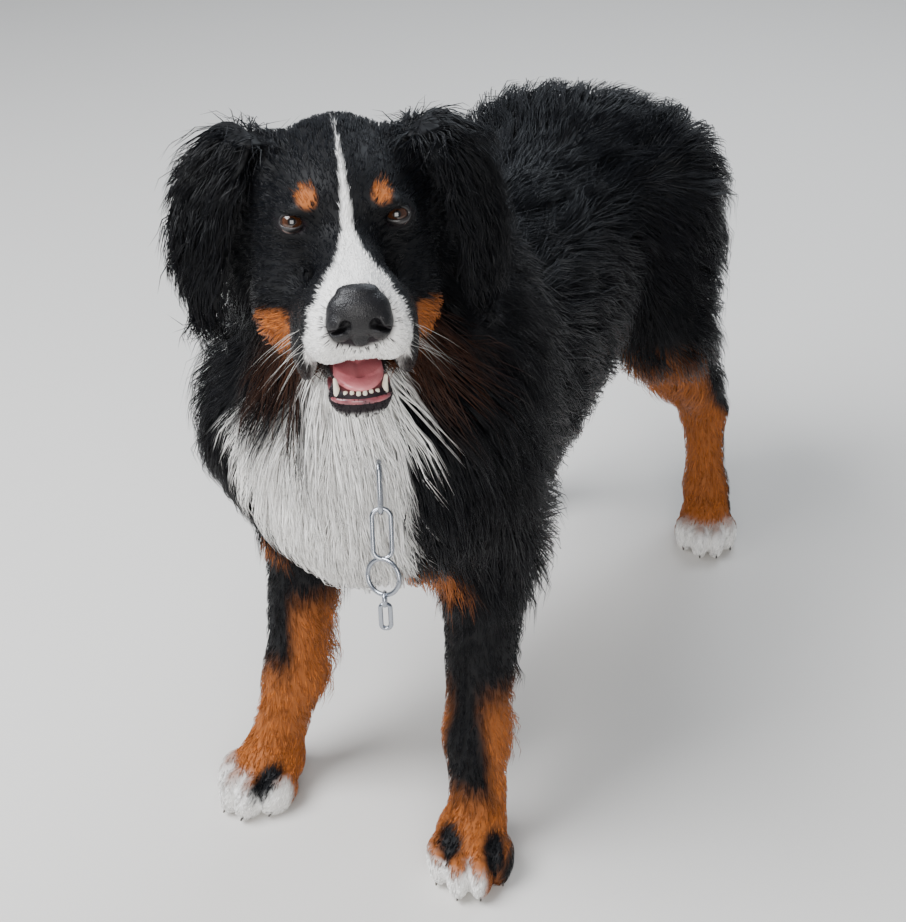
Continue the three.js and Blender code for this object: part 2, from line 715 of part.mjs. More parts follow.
for (let i = 0; i < linkCount; i++) {
  const start = girth.getPointAt(i / linkCount);
  const end = girth.getPointAt(((i + 1) / linkCount) % 1);
  const along = end.clone().sub(start);
  const outward = slope(torso, girth.getPointAt((i + 0.5) / linkCount)).normalize();
  const flat = along.clone().cross(outward).normalize();
  const wide = flat.addScaledVector(outward, i % 2 ? 1 : -1);
  const name = 'chain_link_' + String(i + 1).padStart(2, '0');
  add(name, placed(linkLoop(4), start.add(end).multiplyScalar(0.5), along, wide), 'steel');
}
const hung = (body, above, wide) => placed(body, chainHang.clone().setZ(chainHang.z + above), up, wide);
const ringDrop = chainRing / 2 - chainWire * 1.5 - linkSlack;
add('drop_link_upper', hung(linkLoop(6), linkPitch * 1.5, V(0.45, -0.89, 0)), 'steel');
add('drop_link_lower', hung(linkLoop(6), linkPitch * 0.5, V(0.89, 0.45, 0)), 'steel');
add('drop_ring', hung(wireLoop(0, (chainRing - chainWire) / 2, 14, 6), -ringDrop, V(0.3, -0.95, 0)), 'steel');

// The origin lies on the floor under the middle of the dog's length and width
const dog = new THREE.Group();
dog.position.copy(underMiddle).negate();
for (const [name, { body: flesh, look }] of Object.entries(made)) {
  const mesh = flesh.getMesh();
  const geometry = new THREE.BufferGeometry();
  geometry.setAttribute('position', new THREE.BufferAttribute(new Float32Array(mesh.vertProperties), 3));
  geometry.setIndex(new THREE.BufferAttribute(new Uint32Array(mesh.triVerts), 1));
  geometry.computeVertexNormals();
  const part = new THREE.Mesh(geometry, new THREE.MeshStandardMaterial(materials[look]));
  part.name = name;
  dog.add(part);
}
export default dog;
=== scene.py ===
import bpy
import math
import numpy as np
from mathutils import Matrix, Vector


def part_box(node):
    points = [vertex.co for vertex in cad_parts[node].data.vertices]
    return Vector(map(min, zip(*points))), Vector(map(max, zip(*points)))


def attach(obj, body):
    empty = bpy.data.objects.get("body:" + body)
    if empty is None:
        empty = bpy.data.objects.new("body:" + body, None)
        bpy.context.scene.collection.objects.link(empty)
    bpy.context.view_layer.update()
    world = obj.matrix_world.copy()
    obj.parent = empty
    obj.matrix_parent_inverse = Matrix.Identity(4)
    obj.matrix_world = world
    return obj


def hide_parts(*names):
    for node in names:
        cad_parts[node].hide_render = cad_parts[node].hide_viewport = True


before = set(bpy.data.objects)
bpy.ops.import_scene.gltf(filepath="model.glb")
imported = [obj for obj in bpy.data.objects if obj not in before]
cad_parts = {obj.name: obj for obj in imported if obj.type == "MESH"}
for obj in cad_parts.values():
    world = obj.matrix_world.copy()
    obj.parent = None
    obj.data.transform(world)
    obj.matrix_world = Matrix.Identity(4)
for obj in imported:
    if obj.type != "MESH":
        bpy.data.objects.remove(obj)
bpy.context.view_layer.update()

bpy.ops.object.select_all(action="DESELECT")
rng = np.random.default_rng(4107)

# Sizes are in millimetres in the dog's own standing; underMiddle brings them to the frame, in metres
underMiddle = np.array([3.4, -30.8, 0.0])


def toMetres(points):
    return (np.asarray(points, float) - underMiddle) / 1000


# Camera, placed where the photo was taken from
cameraSet = {"place": (687, -1439.5, 1271.6), "yaw": 27.37, "pitch": 31.59, "roll": 1.69,
             "focalPixels": 1600, "imageHeight": 922, "sensor": 36}


def makeCamera():
    yaw, pitch, roll = (math.radians(cameraSet[k]) for k in ("yaw", "pitch", "roll"))
    ahead = Vector((-math.sin(yaw) * math.cos(pitch), math.cos(yaw) * math.cos(pitch), -math.sin(pitch)))
    level = Vector((math.cos(yaw), math.sin(yaw), 0))
    down = ahead.cross(level)
    right = level * math.cos(roll) + down * math.sin(roll)
    lower = -level * math.sin(roll) + down * math.cos(roll)
    turn = Matrix((right, -lower, -ahead)).transposed()
    bpy.ops.object.camera_add(location=toMetres(cameraSet["place"]), rotation=turn.to_euler())
    camera = bpy.context.object
    camera.data.sensor_width = cameraSet["sensor"]
    camera.data.lens = cameraSet["focalPixels"] / cameraSet["imageHeight"] * cameraSet["sensor"]
    bpy.context.scene.camera = camera


makeCamera()
print("camera in place")


# Masses of flesh: functions of points in rows, negative inside. A melt says first how softly its masses join
def eulerRows(turn):
    x, y, z = (math.radians(a) for a in turn)
    return np.array(Matrix.Rotation(z, 3, "Z") @ Matrix.Rotation(x, 3, "X") @ Matrix.Rotation(y, 3, "Y"))


def ball(centre, radii, turn=(0, 0, 0)):
    centre, radii = np.array(centre, np.float32), np.array(radii, np.float32)
    axes = eulerRows(turn).astype(np.float32) if any(turn) else None

    def mass(points):
        q = points - centre
        if axes is not None:
            q = q @ axes
        q = q / radii
        scaled = np.sqrt(np.einsum("ij,ij->i", q, q))
        q = q / radii
        return scaled * (scaled - 1) / np.maximum(np.sqrt(np.einsum("ij,ij->i", q, q)), 1e-6)
    return mass


def limb(start, end, startRadius, endRadius):
    start, along = np.array(start, np.float32), np.array(end, np.float32) - np.array(start, np.float32)

    def mass(points):
        q = points - start
        share = np.clip(q @ along / (along @ along), 0, 1)
        q = q - share[:, None] * along
        return np.sqrt(np.einsum("ij,ij->i", q, q)) - startRadius - (endRadius - startRadius) * share
    return mass


def plate(centre, radii, across, along):
    along = np.array(along, np.float32) / np.linalg.norm(along)
    across = np.array(across, np.float32) - along * np.dot(across, along)
    across = across / np.linalg.norm(across)
    axes = np.stack([np.cross(across, along), across, along], 1).astype(np.float32)
    flat = ball((0, 0, 0), radii)
    return lambda points: flat((points - np.array(centre, np.float32)) @ axes)


def melt(softness, *masses):
    def mass(points):
        nearest = masses[0](points)
        for other in masses[1:]:
            d = other(points)
            overlap = np.maximum(softness - np.abs(nearest - d), 0)
            nearest = np.minimum(nearest, d) - overlap * overlap / (4 * softness)
        return nearest
    return mass


def carve(softness, solid, hollow):
    def mass(points):
        d, h = solid(points), -hollow(points)
        overlap = np.maximum(softness - np.abs(d - h), 0)
        return np.maximum(d, h) + overlap * overlap / (4 * softness)
    return mass


def shrunk(solid, amount):
    return lambda points: solid(points) + amount


def pair(centre, radii, turn=(0, 0, 0)):
    x, y, z = centre
    return [ball((x, y, z), radii, turn), ball((-x, y, z), radii, (turn[0], -turn[1], -turn[2]))]


# Head, in its own frame: origin between the temples, -Y to the nose
headSet = {"noseTip": (125, -500, 730), "noseInHead": (0, -168, -38), "yaw": 34.8, "pitch": 7, "roll": 0.5,
           "eye": (42.5, -53, 8), "skinInset": 2.5}
headAxes = eulerRows((-headSet["pitch"], headSet["roll"], headSet["yaw"]))
headPlace = np.array(headSet["noseTip"]) - headAxes @ np.array(headSet["noseInHead"])


def inHead(x, y, z):
    return headAxes @ np.array([x, y, z]) + headPlace


def toHead(points):
    return (points - headPlace.astype(np.float32)) @ headAxes.astype(np.float32)


skull = melt(24, ball((0, 24, 8), (66, 86, 67)), ball((0, -26, 16), (54, 50, 42)),
             *pair((42, -8, -26), (30, 52, 46)), *pair((44, 30, -44), (32, 46, 46)),
             *pair((50, -30, -66), (28, 40, 40)), *pair((58, 20, 6), (26, 34, 60)),
             *pair((82, 44, -34), (26, 32, 58)))
brows = pair((31, -64, 22), (17, 12, 9), (0, 0, -20)) + pair((42.5, -51.5, 8), (16.5, 15, 13.5))
muzzle = melt(14, limb((0, -58, -14), (0, -142, -34), 31, 25), ball((0, -124, -63), (22, 33, 25)),
              *pair((23, -116, -56), (25, 46, 36), (0, 0, 4)),
              *pair((40, -78, -80), (14, 38, 40), (-14, 0, 6)))
nape = ball((0, 30, -84), (58, 56, 60))
jawFlesh = melt(8, limb((0, -34, -106), (0, -108, -120), 31, 23), ball((0, -117, -122), (28, 20, 20)))
mouthHollow = melt(8, ball((0, -118, -97), (23, 46, 13), (12, 0, 0)),
                   ball((0, -84, -97), (25, 34, 12), (10, 0, 0)))
upperHead = melt(14, melt(20, skull, muzzle), *brows, nape)
for hollow in (*pair((43.5, -73, 8.5), (9.4, 16, 5.6)), mouthHollow):
    upperHead = carve(5, upperHead, hollow)

earStations = [((60, 20, 58), 24, (0.25, 0.97, 0)), ((84, 20, 62), 34, (0.55, 0.83, 0.05)),
               ((106, 18, 36), 38, (0.66, 0.75, 0.1)), ((119, 12, -4), 34, (0.7, 0.7, 0.12)),
               ((121, 5, -44), 24, (0.72, 0.69, 0.1)), ((118, 0, -74), 11, (0.72, 0.69, 0.1))]


def earMasses(side):
    flip = np.array([side, 1, 1])
    leaves = []
    for (start, half, across), (end, nextHalf, _) in zip(earStations, earStations[1:]):
        start, end, across = np.array(start) * flip, np.array(end) * flip, np.array(across) * flip
        reach = np.linalg.norm(end - start) * 0.85
        leaves.append(plate((start + end) / 2, (5.5, (half + nextHalf) / 2, reach), across, end - start))
    return melt(7, *leaves)


ears = [earMasses(-1), earMasses(1)]
headFlesh = shrunk(melt(10, upperHead, carve(4, jawFlesh, mouthHollow)), headSet["skinInset"])
headFlesh = melt(6, headFlesh, *ears)

# Body and legs
bodySet = {"trunkInset": 3, "legInset": 2.5, "tailInset": 4}
legs = {
    "left": {"side": 1, "shoulder": (98, -318, 478), "elbow": (110, -256, 372), "wrist": (109, -287, 142),
             "forepaw": (119, -327, 0), "forepawYaw": 24, "hip": (72, 256, 545), "stifle": (112, 236, 378),
             "hock": (127, 384, 186), "fetlock": (138, 380, 66), "hindpaw": (146, 362, 0),
             "hindpawYaw": 24},
    "right": {"side": -1, "shoulder": (-96, -312, 478), "elbow": (-100, -248, 372),
              "wrist": (-118, -280, 142), "forepaw": (-139, -322, 0), "forepawYaw": -6,
              "hip": (-72, 256, 545), "stifle": (-110, 200, 374), "hock": (-122, 318, 186),
              "fetlock": (-128, 306, 66), "hindpaw": (-132, 288, 0), "hindpawYaw": -8},
}
pawSizes = {"forepaw": (88, 112, 62), "hindpaw": (80, 102, 56)}
tailLine = [(0, 335, 592), (-4, 410, 500), (-22, 432, 380), (-46, 430, 268)]


def pawFlesh(width, length, height):
    toes = []
    for across, reach in ((-0.36, -0.22), (-0.13, -0.4), (0.13, -0.4), (0.36, -0.22)):
        toes.append(ball((width * across * 1.04, length * reach, height * 0.36),
                         (width * 0.15, length * 0.24, height * 0.42), (0, 0, across * -26)))
    top = ball((0, length * 0.02, height * 0.52), (width * 0.43, length * 0.4, height * 0.55))
    return melt(5, *toes, top)


paws = []
for side, leg in legs.items():
    for kind in ("forepaw", "hindpaw"):
        axes = eulerRows((0, 0, leg[kind + "Yaw"]))
        paws.append({"name": kind + " " + side, "place": np.array(leg[kind], float), "axes": axes,
                     "size": pawSizes[kind], "flesh": pawFlesh(*pawSizes[kind])})


def pawMass(paw):
    place, axes = paw["place"].astype(np.float32), paw["axes"].astype(np.float32)
    return lambda points: paw["flesh"]((points - place) @ axes) + 1


def legMasses(leg):
    side, hip = leg["side"], leg["hip"]
    forePad = np.array(leg["forepaw"]) + (0, 20, 50)
    hindPad = np.array(leg["hindpaw"]) + (0, 16, 42)
    hockTop = np.array(leg["hock"]) + (0, 0, 6)
    return {
        "shoulder": [ball((side * 92, -262, 505), (54, 90, 116), (18, 0, 0)),
                     limb(leg["shoulder"], leg["elbow"], 60, 48)],
        "foreleg": melt(26, limb(leg["elbow"], leg["wrist"], 46, 31), limb(leg["wrist"], forePad, 31, 31)),
        "haunch": ball((side * 90, hip[1] + 34, 455), (56, 96, 112)),
        "hindleg": melt(28, limb(hip, leg["stifle"], 90, 52), limb(leg["stifle"], hockTop, 50, 27),
                        limb(leg["hock"], leg["fetlock"], 27, 25), limb(leg["fetlock"], hindPad, 25, 27)),
    }


leftLegs, rightLegs = legMasses(legs["left"]), legMasses(legs["right"])
neckTop, throat, foreChest = inHead(0, 62, -26), inHead(0, 10, -96), (4, -314, 466)
trunk = melt(54, ball((0, -118, 476), (138, 228, 164)), ball((0, -200, 590), (80, 112, 80)),
             limb((0, 20, 530), (0, 225, 536), 104, 100), ball((0, 60, 462), (110, 168, 106)),
             ball((0, 245, 545), (102, 106, 94)), ball(foreChest, (92, 82, 116)),
             *leftLegs["shoulder"], *rightLegs["shoulder"],
             limb((0, -222, 566), neckTop, 106, 82), limb(foreChest, throat, 88, 58),
             leftLegs["haunch"], rightLegs["haunch"])
tailFlesh = melt(12, *[limb(a, b, ra, rb) for a, b, ra, rb in
                       zip(tailLine, tailLine[1:], (34, 24, 19), (24, 19, 11))])
torso = melt(26, shrunk(trunk, bodySet["trunkInset"]),
             *[shrunk(side[part], bodySet["legInset"]) for side in (leftLegs, rightLegs)
               for part in ("foreleg", "hindleg")],
             shrunk(tailFlesh, bodySet["tailInset"]))
flesh = melt(12, torso, lambda points: headFlesh(toHead(points)), *[pawMass(paw) for paw in paws])


def gradient(mass, points, step=0.6):
    shifts = np.eye(3, dtype=np.float32) * step
    columns = [mass(points + shift) - mass(points - shift) for shift in shifts]
    return np.stack(columns, 1) / (2 * step)


def settle(mass, points, height=0.0, turns=1):
    for _ in range(turns):
        slope = gradient(mass, points)
        squared = np.maximum(np.einsum("ij,ij->i", slope, slope), 0.1)
        points = points + slope * ((height - mass(points)) / squared)[:, None]
    return points.astype(np.float32), slope


netSet = {"bodyCell": 6.5, "bodyBox": ((-225, -450, -12), (235, 480, 800)),
          "headCell": 2.3, "headBox": ((-165, -190, -200), (165, 150, 95)), "batches": 24, "floorGap": 0.6}


# A mesh of quads over the surface of a mass, one vertex in each cell of a grid that the surface crosses
def surfaceNet(mass, low, high, cell, place=lambda points: points):
    axes = [np.arange(a, b + cell, cell, dtype=np.float32) for a, b in zip(low, high)]
    shape = tuple(len(a) for a in axes)
    grid = np.stack(np.meshgrid(*axes, indexing="ij"), -1).reshape(-1, 3)
    batches = np.array_split(grid, netSet["batches"])
    values = np.concatenate([mass(place(part)) for part in batches]).reshape(shape)
    cells = tuple(n - 1 for n in shape)
    corner = [values[i:i + cells[0], j:j + cells[1], k:k + cells[2]]
              for i in (0, 1) for j in (0, 1) for k in (0, 1)]
    bits = [(i, j, k) for i in (0, 1) for j in (0, 1) for k in (0, 1)]
    count = sum((c < 0).astype(np.int8) for c in corner)
    where = np.argwhere((count > 0) & (count < 8))
    index = np.full(cells, -1, np.int64)
    index[tuple(where.T)] = np.arange(len(where))
    at = [c[tuple(where.T)] for c in corner]
    total, crossed = np.zeros((len(where), 3), np.float32), np.zeros(len(where), np.float32)
    for a in range(8):
        for b in range(a + 1, 8):
            if sum(x != y for x, y in zip(bits[a], bits[b])) != 1:
                continue
            cut = (at[a] < 0) != (at[b] < 0)
            share = np.where(cut, at[a] / np.where(cut, at[a] - at[b], 1), 0)[:, None]
            spot = np.array(bits[a]) + share * (np.array(bits[b]) - np.array(bits[a]))
            total += np.where(cut[:, None], spot, 0).astype(np.float32)
            crossed += cut
    points = (where + total / crossed[:, None]) * cell + np.array(low)
    quads = []
    for axis in range(3):
        u, v = (axis + 1) % 3, (axis + 2) % 3
        near = [slice(1, n - 1) for n in shape]
        near[axis] = slice(0, shape[axis] - 1)
        far = list(near)
        far[axis] = slice(1, shape[axis])
        inside = values[tuple(near)] < 0
        edges = np.argwhere(inside != (values[tuple(far)] < 0)) + [1 if k != axis else 0 for k in range(3)]
        ring = []
        for du, dv in ((-1, -1), (0, -1), (0, 0), (-1, 0)):
            beside = edges.copy()
            beside[:, u] += du
            beside[:, v] += dv
            ring.append(index[tuple(beside.T)])
        ring = np.stack(ring, 1)
        starts = edges - [1 if k != axis else 0 for k in range(3)]
        flip = ~inside[tuple(starts.T)]
        ring[flip] = ring[flip][:, ::-1]
        quads.append(ring)
    points, _ = settle(mass, place(points.astype(np.float32)), turns=2)
    return points, np.concatenate(quads)


def addMesh(name, points, faces):
    mesh = bpy.data.meshes.new(name)
    mesh.from_pydata(points.tolist(), [], faces.tolist())
    mesh.polygons.foreach_set("use_smooth", np.ones(len(mesh.polygons), bool))
    piece = bpy.data.objects.new(name, mesh)
    bpy.context.scene.collection.objects.link(piece)
    return piece


# Head and body meet at a cut inside the ruff
headCut = {"point": (0, 60, -60), "normal": (0, -0.86, 0.51), "overlap": 4}


def beforeCut(points):
    return (toHead(points) - np.array(headCut["point"], np.float32)) @ np.array(headCut["normal"], np.float32)


def headSide(points):
    return np.maximum(flesh(points), -beforeCut(points))


def bodySide(points):
    return np.maximum(flesh(points), beforeCut(points) - headCut["overlap"])


def fromHead(points):
    return points @ headAxes.T.astype(np.float32) + headPlace.astype(np.float32)


bodyPoints, bodyQuads = surfaceNet(bodySide, *netSet["bodyBox"], netSet["bodyCell"])
headPoints, headQuads = surfaceNet(headSide, *netSet["headBox"], netSet["headCell"], fromHead)
skinPoints = np.concatenate([bodyPoints, headPoints])
skinPoints[:, 2] = np.maximum(skinPoints[:, 2], netSet["floorGap"])
skinQuads = np.concatenate([bodyQuads, headQuads + len(bodyPoints)])
print("skin", len(skinPoints), "points")


# Markings of the coat, with painted shade under and behind the nose: what colour grows at a point. A spot is
# a centre and its radii, in millimetres
tints = {"black": (0.0026, 0.0027, 0.0036), "white": (0.93, 0.915, 0.89), "tan": (0.35, 0.105, 0.022),
         "rust": (0.10, 0.034, 0.012), "lipAndShade": (0.014, 0.009, 0.012), "mouth": (0.42, 0.12, 0.13)}
markSet = {
    "blazeDrop": (-68, -60, -42, -20, -5, 4, 13, 24, 37, 60),  # down from the temples
    "blazeHalf": (0.3, 1.0, 2.2, 3.4, 5.5, 10, 18, 27, 36, 42),
    "foreheadHalf": 3.6,
    "bibHeight": (365, 400, 450, 500, 560, 620, 700),
    "bibLeft": (30, 62, 86, 84, 58, 34, 30),
    "bibRight": (5, -30, -60, -76, -70, -50, -40),
    "browSpot": ((30, -66, 29), (8, 14, 7.5)),
    "cheekSpot": ((62, -66, -76), (23, 26, 14.5)),
    "cheekShade": ((62, -56, -104), (24, 34, 26)),
    "brownCheek": ((62, -44, -112), (40, 66, 44)),
    "chestSpots": (((-124, -325, 330), (24, 50, 27)), ((88, -350, 380), (26, 50, 28))),
    "lidShade": ((43, -65, 8), (12, 14, 8)),
    "eyeOpening": ((43.5, -67, 8.5), (9.8, 12, 6.2)),
    "noseShade": ((0, -163, -44), (28, 20, 27)),
    "legWidth": 30,
    # centres as shares of the paw's size
    "darkToes": {"forepaw right": [((0.28, -0.26, 0.66), (12, 28, 20))],
                 "forepaw left": [((0.28, -0.26, 0.66), (12, 28, 20)), ((-0.22, -0.2, 0.78), (15, 26, 16)),
                                  ((0.4, -0.2, 0.35), (16, 30, 22))]},
}


def soft(value, start, end):
    t = np.clip((value - start) / (end - start), 0, 1)
    return t * t * (3 - 2 * t)


def near(points, centre, radii, edge=0.3):
    d = np.sqrt((((points - np.array(centre)) / np.array(radii)) ** 2).sum(1))
    return 1 - soft(d, 1 - edge, 1 + edge)


def nearPair(points, spot, edge=0.3):
    (x, y, z), radii = spot
    return near(points, (-x, y, z), radii, edge) + near(points, (x, y, z), radii, edge)


def ragged(points, size):
    p = points / size
    return (np.sin(p[:, 0] * 2.1 + 1.3 * np.sin(p[:, 2] * 1.7)) + np.sin(p[:, 1] * 2.7 + p[:, 2] * 1.9 + 2)
            + np.sin(p[:, 2] * 3.1 - p[:, 0] * 1.3)) / 3


def legTan(points):
    x, y, z = points.T
    tan = np.zeros(len(points))
    for name, leg in legs.items():
        mine = x * leg["side"] > 25
        fore, hind = mine & (y < -120), mine & (y > 60)
        backward = (y - leg["wrist"][1]) / markSet["legWidth"]
        inner = (leg["wrist"][0] - x) * leg["side"] / markSet["legWidth"]
        if name == "left":
            streak = soft(backward + np.abs(inner) * 0.5, -0.7, 0.0)
            tan += fore * (1 - soft(z, 165, 235)) * np.maximum(streak, 1 - soft(z, 60, 110))
        else:
            tan += fore * (1 - soft(z, 140, 190)) * soft(inner - backward * 0.2 + (185 - z) / 60, -0.8, 0.2)
            tan += fore * (1 - soft(z, 225, 280)) * soft(inner, 0.2, 0.8)
        bones = [leg["hindpaw"], leg["fetlock"], leg["hock"], (0, leg["stifle"][1] - 20, 378)]
        middle = np.interp(z, [0, 66, 186, 378], [bone[1] for bone in bones])
        tan += hind * (1 - soft(z, 330, 385)) * (1 - soft((y - middle) / markSet["legWidth"], -0.25, 0.45))
    return tan


def pawMarks(points, paw):
    p = (points - paw["place"]) @ paw["axes"]
    across, along, up = (p / np.array(paw["size"])).T
    toes = (1 - soft(along, -0.2, -0.06)) * (1 - soft(up, 0.55, 0.85))
    toes = toes * (np.abs(across) < 0.75) * (np.abs(along) < 1)
    if paw["name"] == "forepaw left":  # white on the inner toes only
        toes = toes * (1 - soft(across, 0.14, 0.26)) * (1 - soft(up, 0.5, 0.72))
    dark = np.zeros(len(points))
    for spot, radii in markSet["darkToes"].get(paw["name"], []):
        dark += near(p, np.array(spot) * np.array(paw["size"]), radii)
    return toes, dark


def markingsAndShade(points):
    q = toHead(points)
    x, y, z = points.T
    hx, hy, hz = q.T
    side = np.abs(hx)
    head = soft(-hy, -30, 0) * soft(hz, -175, -150)
    # white of the blaze and muzzle, chin and chest
    blazeHalf = np.interp(-hz, markSet["blazeDrop"], markSet["blazeHalf"])
    narrow = np.minimum(blazeHalf, np.maximum(-85 - hy, markSet["foreheadHalf"]))
    blazeHalf = np.where(hy > -91, narrow, blazeHalf)
    white = (1 - soft(side - blazeHalf + ragged(points, 9) * 1.2, -1.5, 1.8)) * soft(hz, -125, -110) * head
    white = white * (1 - soft(side, 30, 40) * (1 - soft(hz, -98, -86)))
    chin = soft(-hz, 120, 130) * (1 - soft(side, 30, 44)) * soft(-hy, -60, -20)
    beyond = np.maximum(x - np.interp(z, markSet["bibHeight"], markSet["bibLeft"]),
                        np.interp(z, markSet["bibHeight"], markSet["bibRight"]) - x)
    bib = (1 - soft(beyond + ragged(points, 16) * 7, -4, 5)) * soft(-y, 250, 285) * soft(z, 362, 390)
    bib = bib * (1 - soft(hz, -190, -162) * soft(side, 20, 38)) * (1 - soft(hz, -126, -112))
    white = np.maximum(np.maximum(white, chin), bib)
    # tan
    tan = legTan(points) + nearPair(q, markSet["browSpot"]) + nearPair(q, markSet["cheekSpot"])
    tan = tan + nearPair(q, markSet["cheekShade"]) * 0.2
    for centre, radii in markSet["chestSpots"]:
        tan = tan + near(points, centre, radii)
    tan = np.clip(tan, 0, 1) * (1 - white * 0.9)
    for paw in paws:
        toes, dark = pawMarks(points, paw)
        white = np.maximum(white, np.clip(toes - dark, 0, 1))
        tan = tan * (1 - np.clip(toes + dark, 0, 1))
    tailTip = soft(y, 385, 405) * (1 - soft(z, 285, 315)) * (np.abs(x) < 80)
    white = np.maximum(white, tailTip)
    lowerLip = head * soft(hz, -138, -130) * (1 - soft(hz, -112, -106)) * soft(-hy, 84, 96)
    # noseShade is painted shade under and behind the nose, in the dark lip colour; the lower lip is dark of
    # its own
    dark = np.maximum(near(q, *markSet["noseShade"], 0.1), lowerLip)
    dark = np.maximum(dark, nearPair(q, markSet["lidShade"], 0.12))
    colour = np.tile(np.array(tints["black"]), (len(points), 1))
    brown = nearPair(q, markSet["brownCheek"]) * 0.3
    for tint, share in (("rust", brown), ("tan", tan), ("white", white), ("lipAndShade", dark)):
        colour = colour + (np.array(tints[tint]) - colour) * np.clip(share, 0, 1)[:, None]
    return colour, white


def setTint(piece, colours, name="Tint"):
    layer = piece.data.color_attributes.new(name, "FLOAT_COLOR", "POINT")
    layer.data.foreach_set("color", np.concatenate([colours, np.ones((len(colours), 1))], 1).ravel())


# Finishes
def startFinish(name):
    finish = bpy.data.materials.new(name)
    finish.use_nodes = True
    nodes, links = finish.node_tree.nodes, finish.node_tree.links
    return finish, nodes, links, nodes["Principled BSDF"]


def addNoise(nodes, links, scale):
    place = nodes.new("ShaderNodeTexCoord")
    noise = nodes.new("ShaderNodeTexNoise")
    noise.inputs["Scale"].default_value = scale
    links.new(place.outputs["Object"], noise.inputs["Vector"])
    return noise


def addBump(nodes, links, shader, height, strength, distance):
    bump = nodes.new("ShaderNodeBump")
    bump.inputs["Strength"].default_value = strength
    bump.inputs["Distance"].default_value = distance
    links.new(height, bump.inputs["Height"])
    links.new(bump.outputs["Normal"], shader.inputs["Normal"])


def addNoiseBump(nodes, links, shader, scale, strength, distance, detail=4.0):
    noise = addNoise(nodes, links, scale)
    noise.inputs["Detail"].default_value = detail
    addBump(nodes, links, shader, noise.outputs["Fac"], strength, distance)
    return noise


# Colours the finish by a ramp of (place, colour) stops
def addRamp(nodes, links, shader, factor, stops):
    ramp = nodes.new("ShaderNodeValToRGB")
    elements = ramp.color_ramp.elements
    while len(elements) < len(stops):
        elements.new(0.5)
    for element, (spot, colour) in zip(elements, stops):
        element.position = spot
        element.color = (*colour, 1)
    links.new(factor, ramp.inputs["Fac"])
    links.new(ramp.outputs["Color"], shader.inputs["Base Color"])


def tintedFinish(name, roughness, sheen, noiseScale, bumpDistance):
    finish, nodes, links, shader = startFinish(name)
    tint = nodes.new("ShaderNodeAttribute")
    tint.attribute_name = "Tint"
    noise = addNoiseBump(nodes, links, shader, noiseScale, 0.5, bumpDistance)
    vary = nodes.new("ShaderNodeMapRange")
    vary.inputs["To Min"].default_value = 0.78
    vary.inputs["To Max"].default_value = 1.2
    links.new(noise.outputs["Fac"], vary.inputs["Value"])
    deepen = nodes.new("ShaderNodeVectorMath")
    deepen.operation = "SCALE"
    links.new(tint.outputs["Color"], deepen.inputs[0])
    links.new(vary.outputs["Result"], deepen.inputs["Scale"])
    links.new(deepen.outputs["Vector"], shader.inputs["Base Color"])
    shader.inputs["Roughness"].default_value = roughness
    shader.inputs["Sheen Weight"].default_value = sheen
    shader.inputs["Specular IOR Level"].default_value = 0.19
    shader.inputs["Sheen Roughness"].default_value = 0.4
    shader.inputs["Sheen Tint"].default_value = (0.62, 0.72, 0.95, 1)
    return finish


coatFinish = tintedFinish("coat", 0.27, 0.01, 60, 0.0004)
skinFinish = tintedFinish("skin under the coat", 0.6, 0.0, 420, 0.0006)


def wetFinish(name, colour, second, scale, roughness, bumpScale, bumpDistance):
    finish, nodes, links, shader = startFinish(name)
    addNoiseBump(nodes, links, shader, bumpScale, 0.6, bumpDistance, 2.0)
    patches = addNoise(nodes, links, scale)
    addRamp(nodes, links, shader, patches.outputs["Fac"], [(0.38, colour), (0.66, second)])
    shader.inputs["Roughness"].default_value = roughness
    shader.inputs["Coat Weight"].default_value = 0.35
    shader.inputs["Coat Roughness"].default_value = 0.12
    return finish


# Skin: one piece over all the flesh
skinSet = {"shade": 0.8, "mouthEdge": (1.0, 5.0), "lipEdge": (4.0, 9.0), "mouthFront": (-136, -118),
           "palateHeight": -92, "palateShade": 0.35}


def makeSkin():
    skin = addMesh("skin", toMetres(skinPoints), skinQuads)
    colours, _ = markingsAndShade(skinPoints)
    q = toHead(skinPoints)
    inMouth = 1 - soft(mouthHollow(q), *skinSet["mouthEdge"])
    lipLine = 1 - soft(mouthHollow(q), *skinSet["lipEdge"])
    # the skin is the coat's colour darkened by the shade factor: painted shade between the strands
    colours = colours * skinSet["shade"]
    colours = colours + (np.array(tints["lipAndShade"]) - colours) * lipLine[:, None]
    deep = (inMouth * soft(q[:, 1], *skinSet["mouthFront"]))[:, None]
    # the roof of the mouth is darkened by palateShade: painted shade under the upper jaw
    depth = np.where(q[:, 2:] > skinSet["palateHeight"], skinSet["palateShade"], 1)
    colours = colours + (np.array(tints["mouth"]) * depth - colours) * deep
    setTint(skin, colours)
    skin.data.materials.append(skinFinish)
    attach(skin, "root")
    fleshNodes = [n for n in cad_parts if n.split("_")[0] in
                  ("head", "neck", "chest", "loin", "rump", "foreleg", "thigh", "shank", "forepaw", "hindpaw",
                   "tail", "ear", "lower")]
    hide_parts(*fleshNodes)


makeSkin()
print("skin in place")


